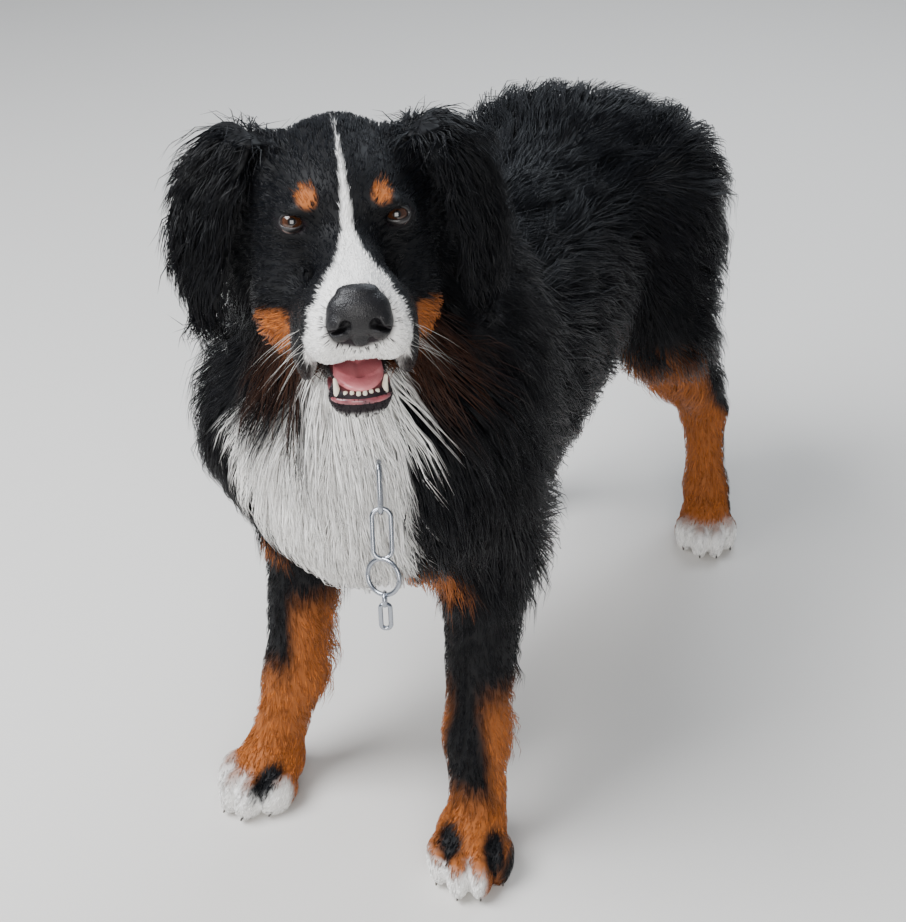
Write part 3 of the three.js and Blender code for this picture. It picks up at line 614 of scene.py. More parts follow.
# The coats: strands to the square millimetre, length, height of the tips, width, size of the locks, looseness
coats = {
    "trunk": {"density": 0.068, "length": 74.0, "lift": 19.0, "width": 1.2, "clump": 24.0, "loose": 0.9},
    "back": {"length": 66.0, "lift": 19.0},
    "rump": {"length": 68.0, "lift": 22.0},
    "breech": {"length": 88.0, "lift": 34.0, "clump": 18.0},
    "chest": {"length": 80.0, "lift": 24.0, "width": 0.95, "density": 0.10},
    "bib": {"density": 0.125, "length": 64.0, "lift": 14.0, "width": 1.15, "clump": 9.0, "loose": 0.45},
    "ruff": {"length": 82.0, "lift": 31.0, "clump": 17.0, "density": 0.085},
    "belly": {"length": 62.0, "lift": 17.0},
    "leg": {"density": 0.12, "length": 17.0, "lift": 3.6, "width": 0.95, "clump": 9.0, "loose": 0.5},
    "feather": {"density": 0.10, "length": 44.0, "lift": 20.0, "width": 1.2, "clump": 11.0, "loose": 0.8},
    "shin": {"length": 24.0, "lift": 8.0},
    "upperHind": {"density": 0.075, "length": 46.0, "lift": 16.0, "width": 1.3, "clump": 12.0, "loose": 0.9},
    "foot": {"density": 0.24, "length": 9.0, "lift": 1.7, "width": 0.8, "clump": 6.0, "loose": 0.4},
    "tail": {"density": 0.12, "length": 80.0, "lift": 28.0, "width": 1.4, "clump": 15.0},
    "head": {"density": 0.25, "length": 15.0, "lift": 2.0, "width": 0.75, "clump": 8.0, "loose": 0.3},
    "face": {"density": 0.36, "length": 9.5, "lift": 0.95, "width": 0.58, "clump": 5.0, "loose": 0.25},
    "lips": {"density": 0.42, "length": 7.5, "lift": 0.9, "width": 0.55, "clump": 4.0},
    "crown": {"length": 24.0, "lift": 4.0, "width": 0.85, "density": 0.2},
    "cheek": {"density": 0.2, "length": 28.0, "lift": 8.0, "width": 0.9, "clump": 10.0, "loose": 0.5},
    "flews": {"length": 44.0, "lift": 13.0, "width": 1.1, "clump": 11.0, "loose": 0.8},
    "jaw": {"density": 0.24, "length": 12.0, "lift": 2.5, "width": 0.8},
    "ear": {"density": 0.17, "length": 40.0, "lift": 9.0, "width": 1.1, "clump": 13.0, "loose": 0.8},
    "fringe": {"length": 52.0, "lift": 13.0, "density": 0.24},
    "earTop": {"length": 46.0, "lift": 14.0, "clump": 14.0},
    "bare": {"density": 0.0},
}
coatSet = {"gathering": 0.72, "sunk": 1.5, "shortStrand": 27, "triangles": 1420000, "pieceTriangles": 190000,
           "longTriangles": 16, "shortTriangles": 10, "seam": 1.2, "underFoot": 14, "floorGap": 0.8,
           # along a strand: its stations, how much of the lift each has, the widths of its rings
           "shares": (0, 0.3, 0.64, 1.0), "rises": (0, 0.55, 0.95, 0.95), "taper": (0.75, 1.0, 0.62),
           # sideways lean from the lock, the strand itself and the flow; the flow's and the crests' sizes
           "lean": (0.22, 0.07, 0.42), "flow": 36, "crest": 24, "crestRise": 0.4, "wave": 0.07,
           "lengthVary": (0.14, 0.12), "liftVary": 0.12, "widthVary": 0.2, "shadeVary": (0.12, 0.16)}


# How the coat grows at points of the skin: what its coats say there, and the way the strands lie
def coatAt(points, normals):
    q = toHead(points)
    headNormals = normals @ headAxes
    side = np.abs(q[:, 0])
    x, y, z = points.T
    hx, hy, hz = q.T
    count = len(points)
    outward = np.sign(x)
    values = {k: np.zeros(count) for k in coats["trunk"]}
    lie = np.tile(np.array([0.0, 1.0, -0.42]), (count, 1))
    lie[:, 2] = -0.15 - 0.75 * (1 - soft(normals[:, 2], -0.2, 0.85))

    def put(share, name):
        for key, value in coats[name].items():
            values[key] += (value - values[key]) * share

    def turnTo(share, across, along, up, axes=np.eye(3)):
        wanted = np.stack(np.broadcast_arrays(across, along, np.full(count, float(up))), 1) @ axes
        lie[:] = lie + (wanted - lie) * share[:, None]

    put(np.ones(count), "trunk")
    put(soft(normals[:, 2], 0.55, 0.9) * soft(z, 560, 620), "back")
    rump = soft(y, 190, 300) * soft(z, 300, 360)
    put(rump, "rump")
    turnTo(rump * 0.8, outward * 0.1, 0.55, -0.9)
    put(soft(normals[:, 1], 0.35, 0.75) * soft(y, 250, 320) * soft(z, 215, 280), "breech")
    chest = soft(-y, 180, 330) * soft(z, 330, 380)
    put(chest, "chest")
    put(chest * soft(-normals[:, 1], 0.1, 0.5), "bib")
    turnTo(chest * soft(-normals[:, 1], -0.6, 0.3), x * 0.0012, 0.16, -1)
    ruff = soft(z, 520, 600) * soft(-y, 170, 260)
    put(ruff, "ruff")
    turnTo(ruff * 0.9, outward * 0.12, 0.35, -1)
    put(soft(-normals[:, 2], 0.35, 0.8) * soft(z, 280, 320), "belly")
    # legs
    onLeg = (1 - soft(z, 300, 385)) * (np.abs(x) > 40)
    put(onLeg, "leg")
    turnTo(onLeg, 0, 0.12, -1)
    feather = onLeg * (y < 0) * soft(normals[:, 1], 0.3, 0.7) * soft(z, 90, 150)
    put(feather, "feather")
    turnTo(feather, -outward * 0.1, 0.45, -1)
    put(onLeg * (y > 0) * soft(normals[:, 1], 0.3, 0.7), "shin")
    put(soft(z, 225, 300) * onLeg * (y > 0), "upperHind")
    foot = 1 - soft(z, 58, 88)
    put(foot, "foot")
    turnTo(foot, 0, -0.75, -0.55)
    put(soft(-normals[:, 2], 0.6, 0.8) * (z < coatSet["underFoot"]), "bare")
    # tail
    tail = soft(y, 375, 400) * (np.abs(x + 20) < 70) * (z < 560)
    put(tail, "tail")
    turnTo(tail, normals[:, 0] * 0.35, 0.35 * normals[:, 1] + 0.05, -1)
    # head
    onHead = soft(beforeCut(points), 20, 58) * np.maximum(soft(hz, -148, -122), soft(-hy, 60, 90))
    fromNose = q - np.array([0, -176, -46])
    fromNose = fromNose / np.linalg.norm(fromNose, axis=1)[:, None]
    fromNose[:, 2] -= 0.35 * soft(side, 25, 60)
    put(onHead, "head")
    lie[:] = lie + (fromNose @ headAxes.T - lie) * onHead[:, None]
    put(onHead * soft(-hy, 40, 70), "face")
    put(onHead * soft(-hy, 90, 120), "lips")
    put(onHead * soft(hz, 30, 55) * soft(hy, -40, 10), "crown")
    cheek = onHead * soft(-hz, 30, 70) * (1 - soft(-hy, 52, 84))
    put(cheek, "cheek")
    flews = cheek * soft(-hz, 78, 104) * soft(side, 34, 50)
    put(flews, "flews")
    turnTo(flews, np.sign(hx) * 0.1, 0.2, -1, headAxes.T)
    put(onHead * soft(-hz, 124, 140), "jaw")
    nearEar = np.minimum(ears[0](q), ears[1](q))
    ear = soft(-nearEar, -6, -1.5) * soft(side, 54, 64)
    put(ear, "ear")
    turnTo(ear, np.sign(hx) * 0.22, 0.12 * headNormals[:, 1], -1, headAxes.T)
    put(ear * (soft(side, 132, 146) + soft(-hz, 45, 75)).clip(0, 1), "fringe")
    put(ear * soft(hz, 45, 70), "earTop")
    # bare: inside of the mouth, nose, eyes
    put((1 - soft(mouthHollow(q), 2.5, 5.0)) * soft(-hy, 40, 60), "bare")
    put(near(q, (0, -166, -43), (27, 19, 25), 0.08), "bare")
    put(nearPair(q, markSet["eyeOpening"], 0.1), "bare")
    lie = lie - normals * np.einsum("ij,ij->i", lie, normals)[:, None]
    lie = lie / np.maximum(np.linalg.norm(lie, axis=1), 1e-3)[:, None]
    return values, lie


# Where a root lies on an unwrap of the skin: a chart for each part, wound round its own axis
def rootCharts(points):
    q = toHead(points)
    x, y, z = points.T
    uv = np.zeros((len(points), 2))

    def chart(mask, column, row, turn, along):
        uv[mask, 0] = (column + 0.03 + 0.94 * (turn[mask] / (2 * np.pi) + 0.5)) / 4
        uv[mask, 1] = (row + 0.03 + 0.94 * np.clip(along[mask], 0, 1)) / 2

    everywhere = np.ones(len(points), bool)
    chart(everywhere, 0, 0, np.arctan2(x, z - 500), (y + 460) / 940)
    headMask = beforeCut(points) > 0
    chart(headMask, 0, 1, np.arctan2(q[:, 0], q[:, 2] + 30), (q[:, 1] + 180) / 330)
    for column, side in ((1, 1), (2, -1)):
        leg = legs["left" if side > 0 else "right"]
        for row, mask, wrist in ((0, (y < -100), leg["wrist"]), (1, (y > 50), leg["hock"])):
            mask = mask & (z < 370) & (x * side > 20) & ~headMask
            chart(mask, column, row, np.arctan2(x - wrist[0], y - wrist[1]), z / 370)
    earMask = headMask & (np.abs(q[:, 0]) > 74)
    turn = np.arctan2(q[:, 1] - 15, np.abs(q[:, 0]) - 105) * np.sign(q[:, 0])
    chart(earMask, 3, 0, turn, (q[:, 2] + 110) / 200)
    tailMask = (y > 385) & (np.abs(x + 20) < 70) & (z < 560)
    chart(tailMask, 3, 1, np.arctan2(x + 20, y - 425), (z - 200) / 400)
    return uv


def scatterRoots():
    tris = np.concatenate([skinQuads[:, [0, 1, 2]], skinQuads[:, [0, 2, 3]]])
    a, b, c = (skinPoints[tris[:, k]] for k in range(3))
    cross = np.cross(b - a, c - a)
    area = np.linalg.norm(cross, axis=1) / 2
    middle = (a + b + c) / 3
    hidden = np.abs(flesh(middle.astype(np.float32))) > coatSet["seam"]
    values, _ = coatAt(middle, cross / np.maximum(area * 2, 1e-6)[:, None])
    chance = values["density"] * area * ~hidden
    short = values["length"] < coatSet["shortStrand"]
    expected = np.where(short, coatSet["shortTriangles"], coatSet["longTriangles"]) @ chance
    chance = chance * min(1, coatSet["triangles"] / expected)
    print("coat wanted", int(expected), "triangles")
    pick = np.repeat(np.arange(len(tris)), rng.poisson(chance))
    u, v = rng.random((2, len(pick)))
    over = u + v > 1
    u[over], v[over] = 1 - u[over], 1 - v[over]
    return (a[pick] + (b - a)[pick] * u[:, None] + (c - a)[pick] * v[:, None]).astype(np.float32)


# The lock that each root belongs to, the middle of that lock, and how many locks there are
def gatherLocks(roots, clump):
    size = 2.0 ** (np.round(np.log2(clump) * 2) / 2)
    moved = roots + rng.normal(0, 0.12, roots.shape) * size[:, None]
    cells = np.floor(moved / size[:, None]).astype(np.int64)
    key = (((size * 10).astype(np.int64) * 1000 + cells[:, 0] + 500) * 1000 + cells[:, 1] + 500) * 1000
    _, lock, number = np.unique(key + cells[:, 2] + 500, return_inverse=True, return_counts=True)
    lock = lock.ravel()
    centre = np.stack([np.bincount(lock, roots[:, k]) / number for k in range(3)], 1)
    return lock, centre[lock], len(number)


# Strands of one lock share their bend, length and lean
def growCoat():
    roots = scatterRoots()
    slope = gradient(flesh, roots)
    normals = slope / np.maximum(np.linalg.norm(slope, axis=1), 1e-3)[:, None]
    values, lie = coatAt(roots, normals)
    lock, centre, locks = gatherLocks(roots, values["clump"])
    shared = rng.normal(0, 1, (locks, 4))[lock]
    own = rng.normal(0, 1, (len(roots), 4))
    loose = values["loose"]
    aside = np.cross(lie, normals)
    flow, crest = ragged(roots, coatSet["flow"]), ragged(roots + 70, coatSet["crest"])
    byLock, byStrand, byFlow = coatSet["lean"]
    lean = byLock * shared[:, 0] + byStrand * own[:, 0] + byFlow * flow
    lie = lie + aside * (lean * loose)[:, None]
    byLock, byStrand = coatSet["lengthVary"]
    length = values["length"] * np.clip(1 + byLock * shared[:, 1] + byStrand * own[:, 1], 0.45, 1.5)
    rising = np.clip(1 + coatSet["liftVary"] * shared[:, 2] + coatSet["crestRise"] * crest * loose, 0.5, 1.5)
    lift = values["lift"] * (1 - 0.65 * rng.random(len(roots)) ** 1.6) * rising
    gather = (centre - roots) * coatSet["gathering"]
    gather = gather - normals * np.einsum("ij,ij->i", gather, normals)[:, None]
    wave = values["length"] * coatSet["wave"] * shared[:, 3] * loose
    path, outs = [roots - normals * coatSet["sunk"]], [normals]
    heading = lie
    sound = np.ones(len(roots), bool)
    for k in range(1, 4):
        part = coatSet["shares"][k] - coatSet["shares"][k - 1]
        step = part * length
        ahead = path[-1] + heading * step[:, None] + gather * part
        ahead = ahead + aside * (wave * (1, -1, 1)[k - 1])[:, None]
        slope = gradient(flesh, ahead.astype(np.float32))
        squared = np.maximum(np.einsum("ij,ij->i", slope, slope), 0.25)
        move = (lift * coatSet["rises"][k] - flesh(ahead.astype(np.float32))) / squared
        limit = 0.6 * step + 2
        ahead = ahead + slope * np.clip(move, -limit, limit)[:, None]
        # a strand thrown too far, as at a fold of the skin, is left out
        sound &= np.linalg.norm(ahead - path[-1], axis=1) < 1.9 * step + 5
        beneath = slope / np.sqrt(squared)[:, None]
        heading = heading - beneath * np.einsum("ij,ij->i", heading, beneath)[:, None] * 0.9
        heading[:, 2] -= 0.05
        heading = heading / np.maximum(np.linalg.norm(heading, axis=1), 1e-3)[:, None]
        path.append(ahead)
        outs.append(beneath)
    for point in path:
        point[:, 2] = np.maximum(point[:, 2], coatSet["floorGap"])
    colours, white = markingsAndShade(roots)
    byLock, byStrand = coatSet["shadeVary"]
    shade = np.exp((byStrand * own[:, 3] + byLock * shared[:, 0]) * (1 - 0.6 * white))
    colours = colours * np.clip(shade, 0.6, 1.5)[:, None]
    width = values["width"] * np.exp(coatSet["widthVary"] * own[:, 2])
    short = values["length"] < coatSet["shortStrand"]
    return path, outs, width, colours, rootCharts(roots), roots, short, sound


def tubeFaces(rings):
    faces = [(0, 2, 1)]
    for ring in range(rings - 1):
        for k in range(3):
            a, b = ring * 3 + k, ring * 3 + (k + 1) % 3
            faces += [(a, b, b + 3), (a, b + 3, a + 3)]
    last = rings * 3 - 3
    return np.array(faces + [(last + k, last + (k + 1) % 3, rings * 3) for k in range(3)])


# Closed tapered strands of three sides, made as one mesh; path holds their stations, the last one the tip
def addStrands(name, path, outs, width, colours, charts):
    rings = len(path) - 1
    number, corners = len(width), rings * 3 + 1
    vertices = np.zeros((number, corners, 3))
    for ring, thin in enumerate(coatSet["taper"][:rings]):
        along = path[ring + 1] - path[ring]
        across = np.cross(along, outs[ring])
        across = across / np.maximum(np.linalg.norm(across, axis=1), 1e-6)[:, None]
        half = (width * thin / 2)[:, None]
        vertices[:, ring * 3] = path[ring] + across * half
        vertices[:, ring * 3 + 1] = path[ring] + outs[ring] * half * 0.8
        vertices[:, ring * 3 + 2] = path[ring] - across * half
    vertices[:, -1] = path[-1]
    faces = (tubeFaces(rings)[None] + (np.arange(number) * corners)[:, None, None]).reshape(-1, 3)
    piece = addMesh(name, toMetres(vertices.reshape(-1, 3)), faces)
    setTint(piece, np.repeat(colours, corners, axis=0))
    patchSize = 0.003
    patch = np.array([(k % 3, k // 3) for k in range(corners - 1)] + [(1, rings)]) / 3 * patchSize
    spots = (charts[:, None] + patch[None]).reshape(-1, 2)
    layer = piece.data.uv_layers.new(name="OFBake")
    layer.data.foreach_set("uv", spots[faces.ravel()].ravel().astype(np.float32))
    piece.data.materials.append(coatFinish)
    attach(piece, "root")


path, outs, width, colours, charts, roots, short, sound = growCoat()
middles = (path[1] + path[2]) / 2
kinds = (("coat_long", ~short & sound, path, outs, coatSet["longTriangles"]),
         ("coat_short", short & sound, [path[0], middles, path[3]], outs, coatSet["shortTriangles"]))
for kind, wanted, line, normals, triangles in kinds:
    chosen = np.flatnonzero(wanted)
    chosen = chosen[np.argsort(roots[chosen, 1], kind="stable")]
    pieces = math.ceil(len(chosen) * triangles / coatSet["pieceTriangles"])
    for number, part in enumerate(np.array_split(chosen, pieces)):
        addStrands(f"{kind}_{number + 1:02d}", [p[part] for p in line], [o[part] for o in normals],
                   width[part], colours[part], charts[part])
    print(kind, len(chosen), "strands in", pieces, "pieces")


# Small parts of the head are modelled in metres in its own frame, then carried into place
headToFrame = Matrix.Translation(Vector(toMetres(headPlace))) @ Matrix(headAxes.tolist()).to_4x4()


def intoHead(piece):
    bpy.ops.object.transform_apply(location=True, rotation=True, scale=True)
    piece.data.transform(headToFrame)
    bpy.ops.object.select_all(action="DESELECT")


def applyAll(piece):
    bpy.context.view_layer.objects.active = piece
    for modifier in list(piece.modifiers):
        bpy.ops.object.modifier_apply(modifier=modifier.name)


def evenOut(piece, voxel, smoothing=0):
    remesh = piece.modifiers.new("even", "REMESH")
    remesh.mode = "VOXEL"
    remesh.voxel_size = voxel
    if smoothing:
        smooth = piece.modifiers.new("soften", "SMOOTH")
        smooth.iterations = smoothing
    applyAll(piece)


def shadeSmooth(piece):
    bpy.ops.object.select_all(action="DESELECT")
    piece.select_set(True)
    bpy.context.view_layer.objects.active = piece
    bpy.ops.object.shade_smooth()


def joinInto(name, made):
    bpy.ops.object.select_all(action="DESELECT")
    for one in made:
        one.select_set(True)
    bpy.context.view_layer.objects.active = made[0]
    bpy.ops.object.join()
    piece = bpy.context.object
    piece.name = name
    bpy.ops.object.transform_apply(location=True, rotation=True, scale=True)
    return piece


def addBall(centre, radii, turn=(0, 0, 0)):
    bpy.ops.mesh.primitive_uv_sphere_add(segments=32, ring_count=20, radius=1, location=Vector(centre) / 1000,
                                         scale=Vector(radii) / 1000,
                                         rotation=[math.radians(a) for a in turn])
    return bpy.context.object


# Nose: pads melted together, with nostrils that open into slits at the sides
noseSet = {"voxel": 0.0011, "smoothing": 6, "shift": (0, -2, -5),
           "dark": (0.0030, 0.0028, 0.0034), "pale": (0.0085, 0.008, 0.0095)}


def makeNose():
    pads = [addBall((0, -152, -33), (25.5, 16, 20)), addBall((15, -153, -41), (11.5, 14, 15)),
            addBall((-15, -153, -41), (11.5, 14, 15)), addBall((0, -152, -50), (8, 8, 12)),
            addBall((0, -150, -18), (17, 12, 8))]
    nose = joinInto("nose_leather_pad", pads)
    cutters = []
    for hand in (-1, 1):
        cutters += [addBall((hand * 11.5, -170, -40), (5.4, 10, 6), (0, hand * 12, 0)),
                    addBall((hand * 19, -164, -44.5), (9.5, 9, 2.4), (0, hand * 24, 0))]
    cutters.append(addBall((0, -169, -50), (0.9, 5, 15)))
    hollows = joinInto("nostril_hollows", cutters)
    for piece in (nose, hollows):
        evenOut(piece, noseSet["voxel"])
    cut = nose.modifiers.new("nostrils", "BOOLEAN")
    cut.operation = "DIFFERENCE"
    cut.object = hollows
    applyAll(nose)
    bpy.data.objects.remove(hollows)
    evenOut(nose, noseSet["voxel"], noseSet["smoothing"])
    shadeSmooth(nose)
    nose.location = Vector(noseSet["shift"]) / 1000
    intoHead(nose)
    finish, nodes, links, shader = startFinish("nose leather")
    clouds = addNoise(nodes, links, 60)
    place = nodes.new("ShaderNodeTexCoord")
    cells = nodes.new("ShaderNodeTexVoronoi")
    cells.feature = "DISTANCE_TO_EDGE"
    cells.inputs["Scale"].default_value = 560
    links.new(place.outputs["Object"], cells.inputs["Vector"])
    addBump(nodes, links, shader, cells.outputs["Distance"], 0.9, 0.0006)
    addRamp(nodes, links, shader, clouds.outputs["Fac"], [(0, noseSet["dark"]), (1, noseSet["pale"])])
    shader.inputs["Roughness"].default_value = 0.4
    shader.inputs["Specular IOR Level"].default_value = 0.3
    shader.inputs["Coat Weight"].default_value = 0.06
    nose.data.materials.append(finish)
    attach(nose, "root")
    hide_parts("nose")


makeNose()
print("nose in place")


# Eyes: a ball with iris and pupil, under lids with an almond opening
eyeSet = {"radius": 12, "gaze": (-0.05, -0.97, 0.24), "half": 9.2, "upper": 5.4, "lower": 4.8,
          "cornea": 0.075, "corneaAngle": 34, "whiteAngle": 75, "lidPoints": 72, "lidWall": 0.8,
          # how far along the lid, from the opening's edge, and how far from the eye's middle
          "lidRings": ((0, 11.7), (0, 12.6), (0.05, 13.1), (0.13, 13.3), (0.26, 13.0), (0.5, 11.8), (1, 10))}


def eyeFinish():
    finish, nodes, links, shader = startFinish("eye")
    ring = nodes.new("ShaderNodeAttribute")
    ring.attribute_name = "Ring"
    streaks = addNoise(nodes, links, 900)
    shift = nodes.new("ShaderNodeMath")
    shift.operation = "MULTIPLY_ADD"
    shift.inputs[1].default_value = 0.03
    links.new(streaks.outputs["Fac"], shift.inputs[0])
    links.new(ring.outputs["Fac"], shift.inputs[2])
    # pupil, iris, its dark edge, white of the eye
    addRamp(nodes, links, shader, shift.outputs["Value"],
            [(0.0, (0.002, 0.002, 0.003)), (0.19, (0.001, 0.001, 0.001)), (0.23, (0.032, 0.011, 0.004)),
             (0.50, (0.052, 0.018, 0.007)), (0.60, (0.008, 0.004, 0.003)), (0.74, (0.12, 0.08, 0.07)),
             (0.95, (0.38, 0.24, 0.21))])
    shader.inputs["Roughness"].default_value = 0.06
    shader.inputs["Coat Weight"].default_value = 0.45
    shader.inputs["Coat Roughness"].default_value = 0.02
    return finish


lidFinish = wetFinish("lid rims", (0.004, 0.0035, 0.004), (0.012, 0.009, 0.009), 120, 0.45, 700, 0.0003)
eyeLook = eyeFinish()


def makeEye(hand, nodeName):
    centre = np.array([hand * headSet["eye"][0], *headSet["eye"][1:]], float)
    gaze = Vector(eyeSet["gaze"]).normalized()
    bpy.ops.mesh.primitive_uv_sphere_add(segments=64, ring_count=48, radius=eyeSet["radius"] / 1000,
                                         location=Vector(centre) / 1000,
                                         rotation=gaze.to_track_quat("Z", "Y").to_euler())
    eye = bpy.context.object
    eye.name = "eyeball_" + nodeName.split("_")[1]
    ring = []
    for vertex in eye.data.vertices:
        cosine = vertex.co.normalized().z
        angle = math.degrees(math.acos(max(-1, min(1, cosine))))
        vertex.co *= 1 + eyeSet["cornea"] * max(0, 1 - (angle / eyeSet["corneaAngle"]) ** 2)
        ring.append(min(angle / eyeSet["whiteAngle"], 1))
    layer = eye.data.attributes.new("Ring", "FLOAT", "POINT")
    layer.data.foreach_set("value", ring)
    bpy.ops.object.shade_smooth()
    intoHead(eye)
    eye.data.materials.append(eyeLook)
    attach(eye, "root")
    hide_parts(nodeName)
    # lids: rings from the opening's edge out to where they sink into the face
    count = eyeSet["lidPoints"]
    around = np.linspace(0, 2 * np.pi, count, endpoint=False)
    openX = eyeSet["half"] * np.sign(np.cos(around)) * np.abs(np.cos(around)) ** 0.85
    openZ = np.where(np.sin(around) > 0, eyeSet["upper"], eyeSet["lower"]) * np.sin(around)
    openZ = openZ + 0.02 * openX * -hand + 0.4
    openY = -np.sqrt(np.maximum(eyeSet["radius"] ** 2 - openX ** 2 - openZ ** 2, 4))
    edge = np.stack([openX, openY, openZ], 1)
    edge = edge / np.linalg.norm(edge, axis=1)[:, None]
    rim = np.stack([np.cos(around), np.full(count, -0.12), np.sin(around)], 1)
    rim = rim / np.linalg.norm(rim, axis=1)[:, None]
    turn = np.array(Vector((0, -1, 0)).rotation_difference(gaze).to_matrix())
    rings = []
    for share, reach in eyeSet["lidRings"]:
        ray = (edge + (rim - edge) * share) @ turn.T
        rings.append(centre + ray / np.linalg.norm(ray, axis=1)[:, None] * reach)
    points = np.concatenate(rings)
    k, after = np.arange(count), (np.arange(count) + 1) % count
    starts = np.arange(len(rings) - 1) * count
    quads = [np.stack([r + k, r + after, r + count + after, r + count + k], 1) for r in starts]
    faces = np.concatenate(quads)
    world = points @ headAxes.T + headPlace
    lids = addMesh("lids_" + nodeName.split("_")[1], toMetres(world), faces[:, ::hand])
    wall = lids.modifiers.new("wall", "SOLIDIFY")
    wall.thickness = eyeSet["lidWall"] / 1000
    wall.offset = -1
    smooth = lids.modifiers.new("round", "SUBSURF")
    smooth.levels = smooth.render_levels = 1
    applyAll(lids)
    lids.data.materials.append(lidFinish)
    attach(lids, "root")


makeEye(-1, "eye_right")
makeEye(1, "eye_left")
print("eyes in place")

# Mouth: tongue, gums and lower teeth
tongueFinish = wetFinish("tongue", (0.50, 0.13, 0.15), (0.62, 0.21, 0.22), 40, 0.32, 500, 0.0006)
gumFinish = wetFinish("gum", (0.30, 0.07, 0.08), (0.12, 0.035, 0.045), 90, 0.28, 300, 0.0004)


tongueSet = {"voxel": 1.3, "smoothing": 8, "top": -104, "edge": 12, "edgeRise": 1.1, "groove": 2.6,
             "grooveDepth": 1.6}


def makeTongue():
    tongue = joinInto("tongue_soft", [addBall((0, -105, -106), (21, 30, 6.5), (10, 0, 0)),
                                      addBall((0, -76, -98), (20, 26, 7), (6, 0, 0))])
    evenOut(tongue, tongueSet["voxel"] / 1000, tongueSet["smoothing"])
    for vertex in tongue.data.vertices:  # a groove along the middle, and edges that turn up a little
        across = vertex.co.x * 1000
        if vertex.co.z > tongueSet["top"] / 1000:
            rise = tongueSet["edgeRise"] * (abs(across) / tongueSet["edge"]) ** 1.5
            sink = tongueSet["grooveDepth"] * math.exp(-(across / tongueSet["groove"]) ** 2)
            vertex.co.z += (rise - sink) / 1000
    shadeSmooth(tongue)
    intoHead(tongue)
    tongue.data.materials.append(tongueFinish)
    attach(tongue, "root")
    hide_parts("tongue")


def toothFinish():
    finish, nodes, links, shader = startFinish("tooth enamel")
    noise = addNoiseBump(nodes, links, shader, 260, 0.2, 0.0002)
    addRamp(nodes, links, shader, noise.outputs["Fac"], [(0, (0.66, 0.56, 0.40)), (1, (0.84, 0.79, 0.68))])
    shader.inputs["Roughness"].default_value = 0.18
    shader.inputs["Subsurface Weight"].default_value = 0.1
    shader.inputs["Subsurface Scale"].default_value = 0.002
    return finish


toothSet = {"fang": {"radius": 4.2, "height": 21, "blunt": 0.28, "deep": 1.25, "lean": 12},
            "incisor": {"radius": 2.6, "height": 8.5, "blunt": 0.62, "deep": 0.8, "lean": 6},
            "fangPlace": (19.5, -124), "fangSpread": 7, "gap": 5.2, "front": -132, "root": -119, "worn": 0.22,
            # the row's curve, how much its teeth shorten and splay to the sides
            "curve": 1.3, "shorten": 0.4, "splay": -2}
gumSet = {"voxel": 1.4, "smoothing": 6}


def addTooth(kind, x, y, height, spread):
    tooth = toothSet[kind]
    radius = tooth["radius"]
    bpy.ops.mesh.primitive_cone_add(vertices=20, radius1=radius / 1000,
                                    radius2=radius * tooth["blunt"] / 1000, depth=height / 1000,
                                    scale=(1, tooth["deep"], 1),
                                    location=Vector((x, y, toothSet["root"] + height * 0.32)) / 1000,
                                    rotation=(math.radians(tooth["lean"]), math.radians(spread), 0))
    bpy.ops.object.mode_set(mode="EDIT")
    bpy.ops.mesh.select_all(action="SELECT")
    bpy.ops.mesh.bevel(offset=radius * toothSet["worn"] / 1000, segments=3, affect="EDGES")
    bpy.ops.object.mode_set(mode="OBJECT")
    return bpy.context.object


def makeTeeth():
    fangX, fangY = toothSet["fangPlace"]
    made = [addTooth("fang", hand * fangX, fangY, toothSet["fang"]["height"], hand * toothSet["fangSpread"])
            for hand in (-1, 1)]
    for place in (-2.5, -1.5, -0.5, 0.5, 1.5, 2.5):
        made.append(addTooth("incisor", place * toothSet["gap"],
                             toothSet["front"] + abs(place) * toothSet["curve"],
                             toothSet["incisor"]["height"] - abs(place) * toothSet["shorten"],
                             place * toothSet["splay"]))
    teeth = joinInto("lower_teeth", made)
    bpy.ops.object.shade_smooth_by_angle(angle=math.radians(50))
    intoHead(teeth)
    teeth.data.materials.append(toothFinish())
    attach(teeth, "root")
    sides = [addBall((hand * 18, -100, -118), (8, 26, 5.5)) for hand in (1, -1)]
    gum = joinInto("lower_gum", [addBall((0, -120, -121), (25.5, 16, 6)), *sides])
    evenOut(gum, gumSet["voxel"] / 1000, gumSet["smoothing"])
    shadeSmooth(gum)
    intoHead(gum)
    gum.data.materials.append(gumFinish)
    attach(gum, "root")


makeTongue()
makeTeeth()
print("mouth in place")

# Whiskers, in rows along the lip
whiskerSet = {"width": 0.55, "length": 46, "rows": 3, "inRow": 6, "first": (37, -128, -56), "sag": 12,
              "colour": (0.62, 0.60, 0.56)}


def makeWhiskers():
    x, y, z = whiskerSet["first"]
    rows = [(hand * (x + 2.5 * row), y + k * 8, z - row * 11 - k * 2) for hand in (-1, 1)
            for row in range(whiskerSet["rows"]) for k in range(whiskerSet["inRow"])]
    start = np.array(rows, float)
    hand = np.sign(start[:, 0])
    start = start + rng.normal(0, 1.5, start.shape)
    count = len(rows)
    heading = np.stack([hand * 0.75, np.full(count, 0.30), np.full(count, -0.55)], 1)
    heading = heading + rng.normal(0, 0.16, heading.shape)
    length = whiskerSet["length"] * rng.uniform(0.6, 1.3, count)
    down = np.array([0, 0, -whiskerSet["sag"]])
    line = [start + heading * (share * length)[:, None] + down * share ** 2 for share in (0, 0.33, 0.66, 1)]
    line = [p @ headAxes.T + headPlace for p in line]
    outs = [np.tile(headAxes @ np.array([0, 0, 1.0]), (count, 1))] * 3
    addStrands("whiskers", line, outs, np.full(count, whiskerSet["width"]),
               np.tile(np.array(whiskerSet["colour"]), (count, 1)), rootCharts(line[0]))


makeWhiskers()

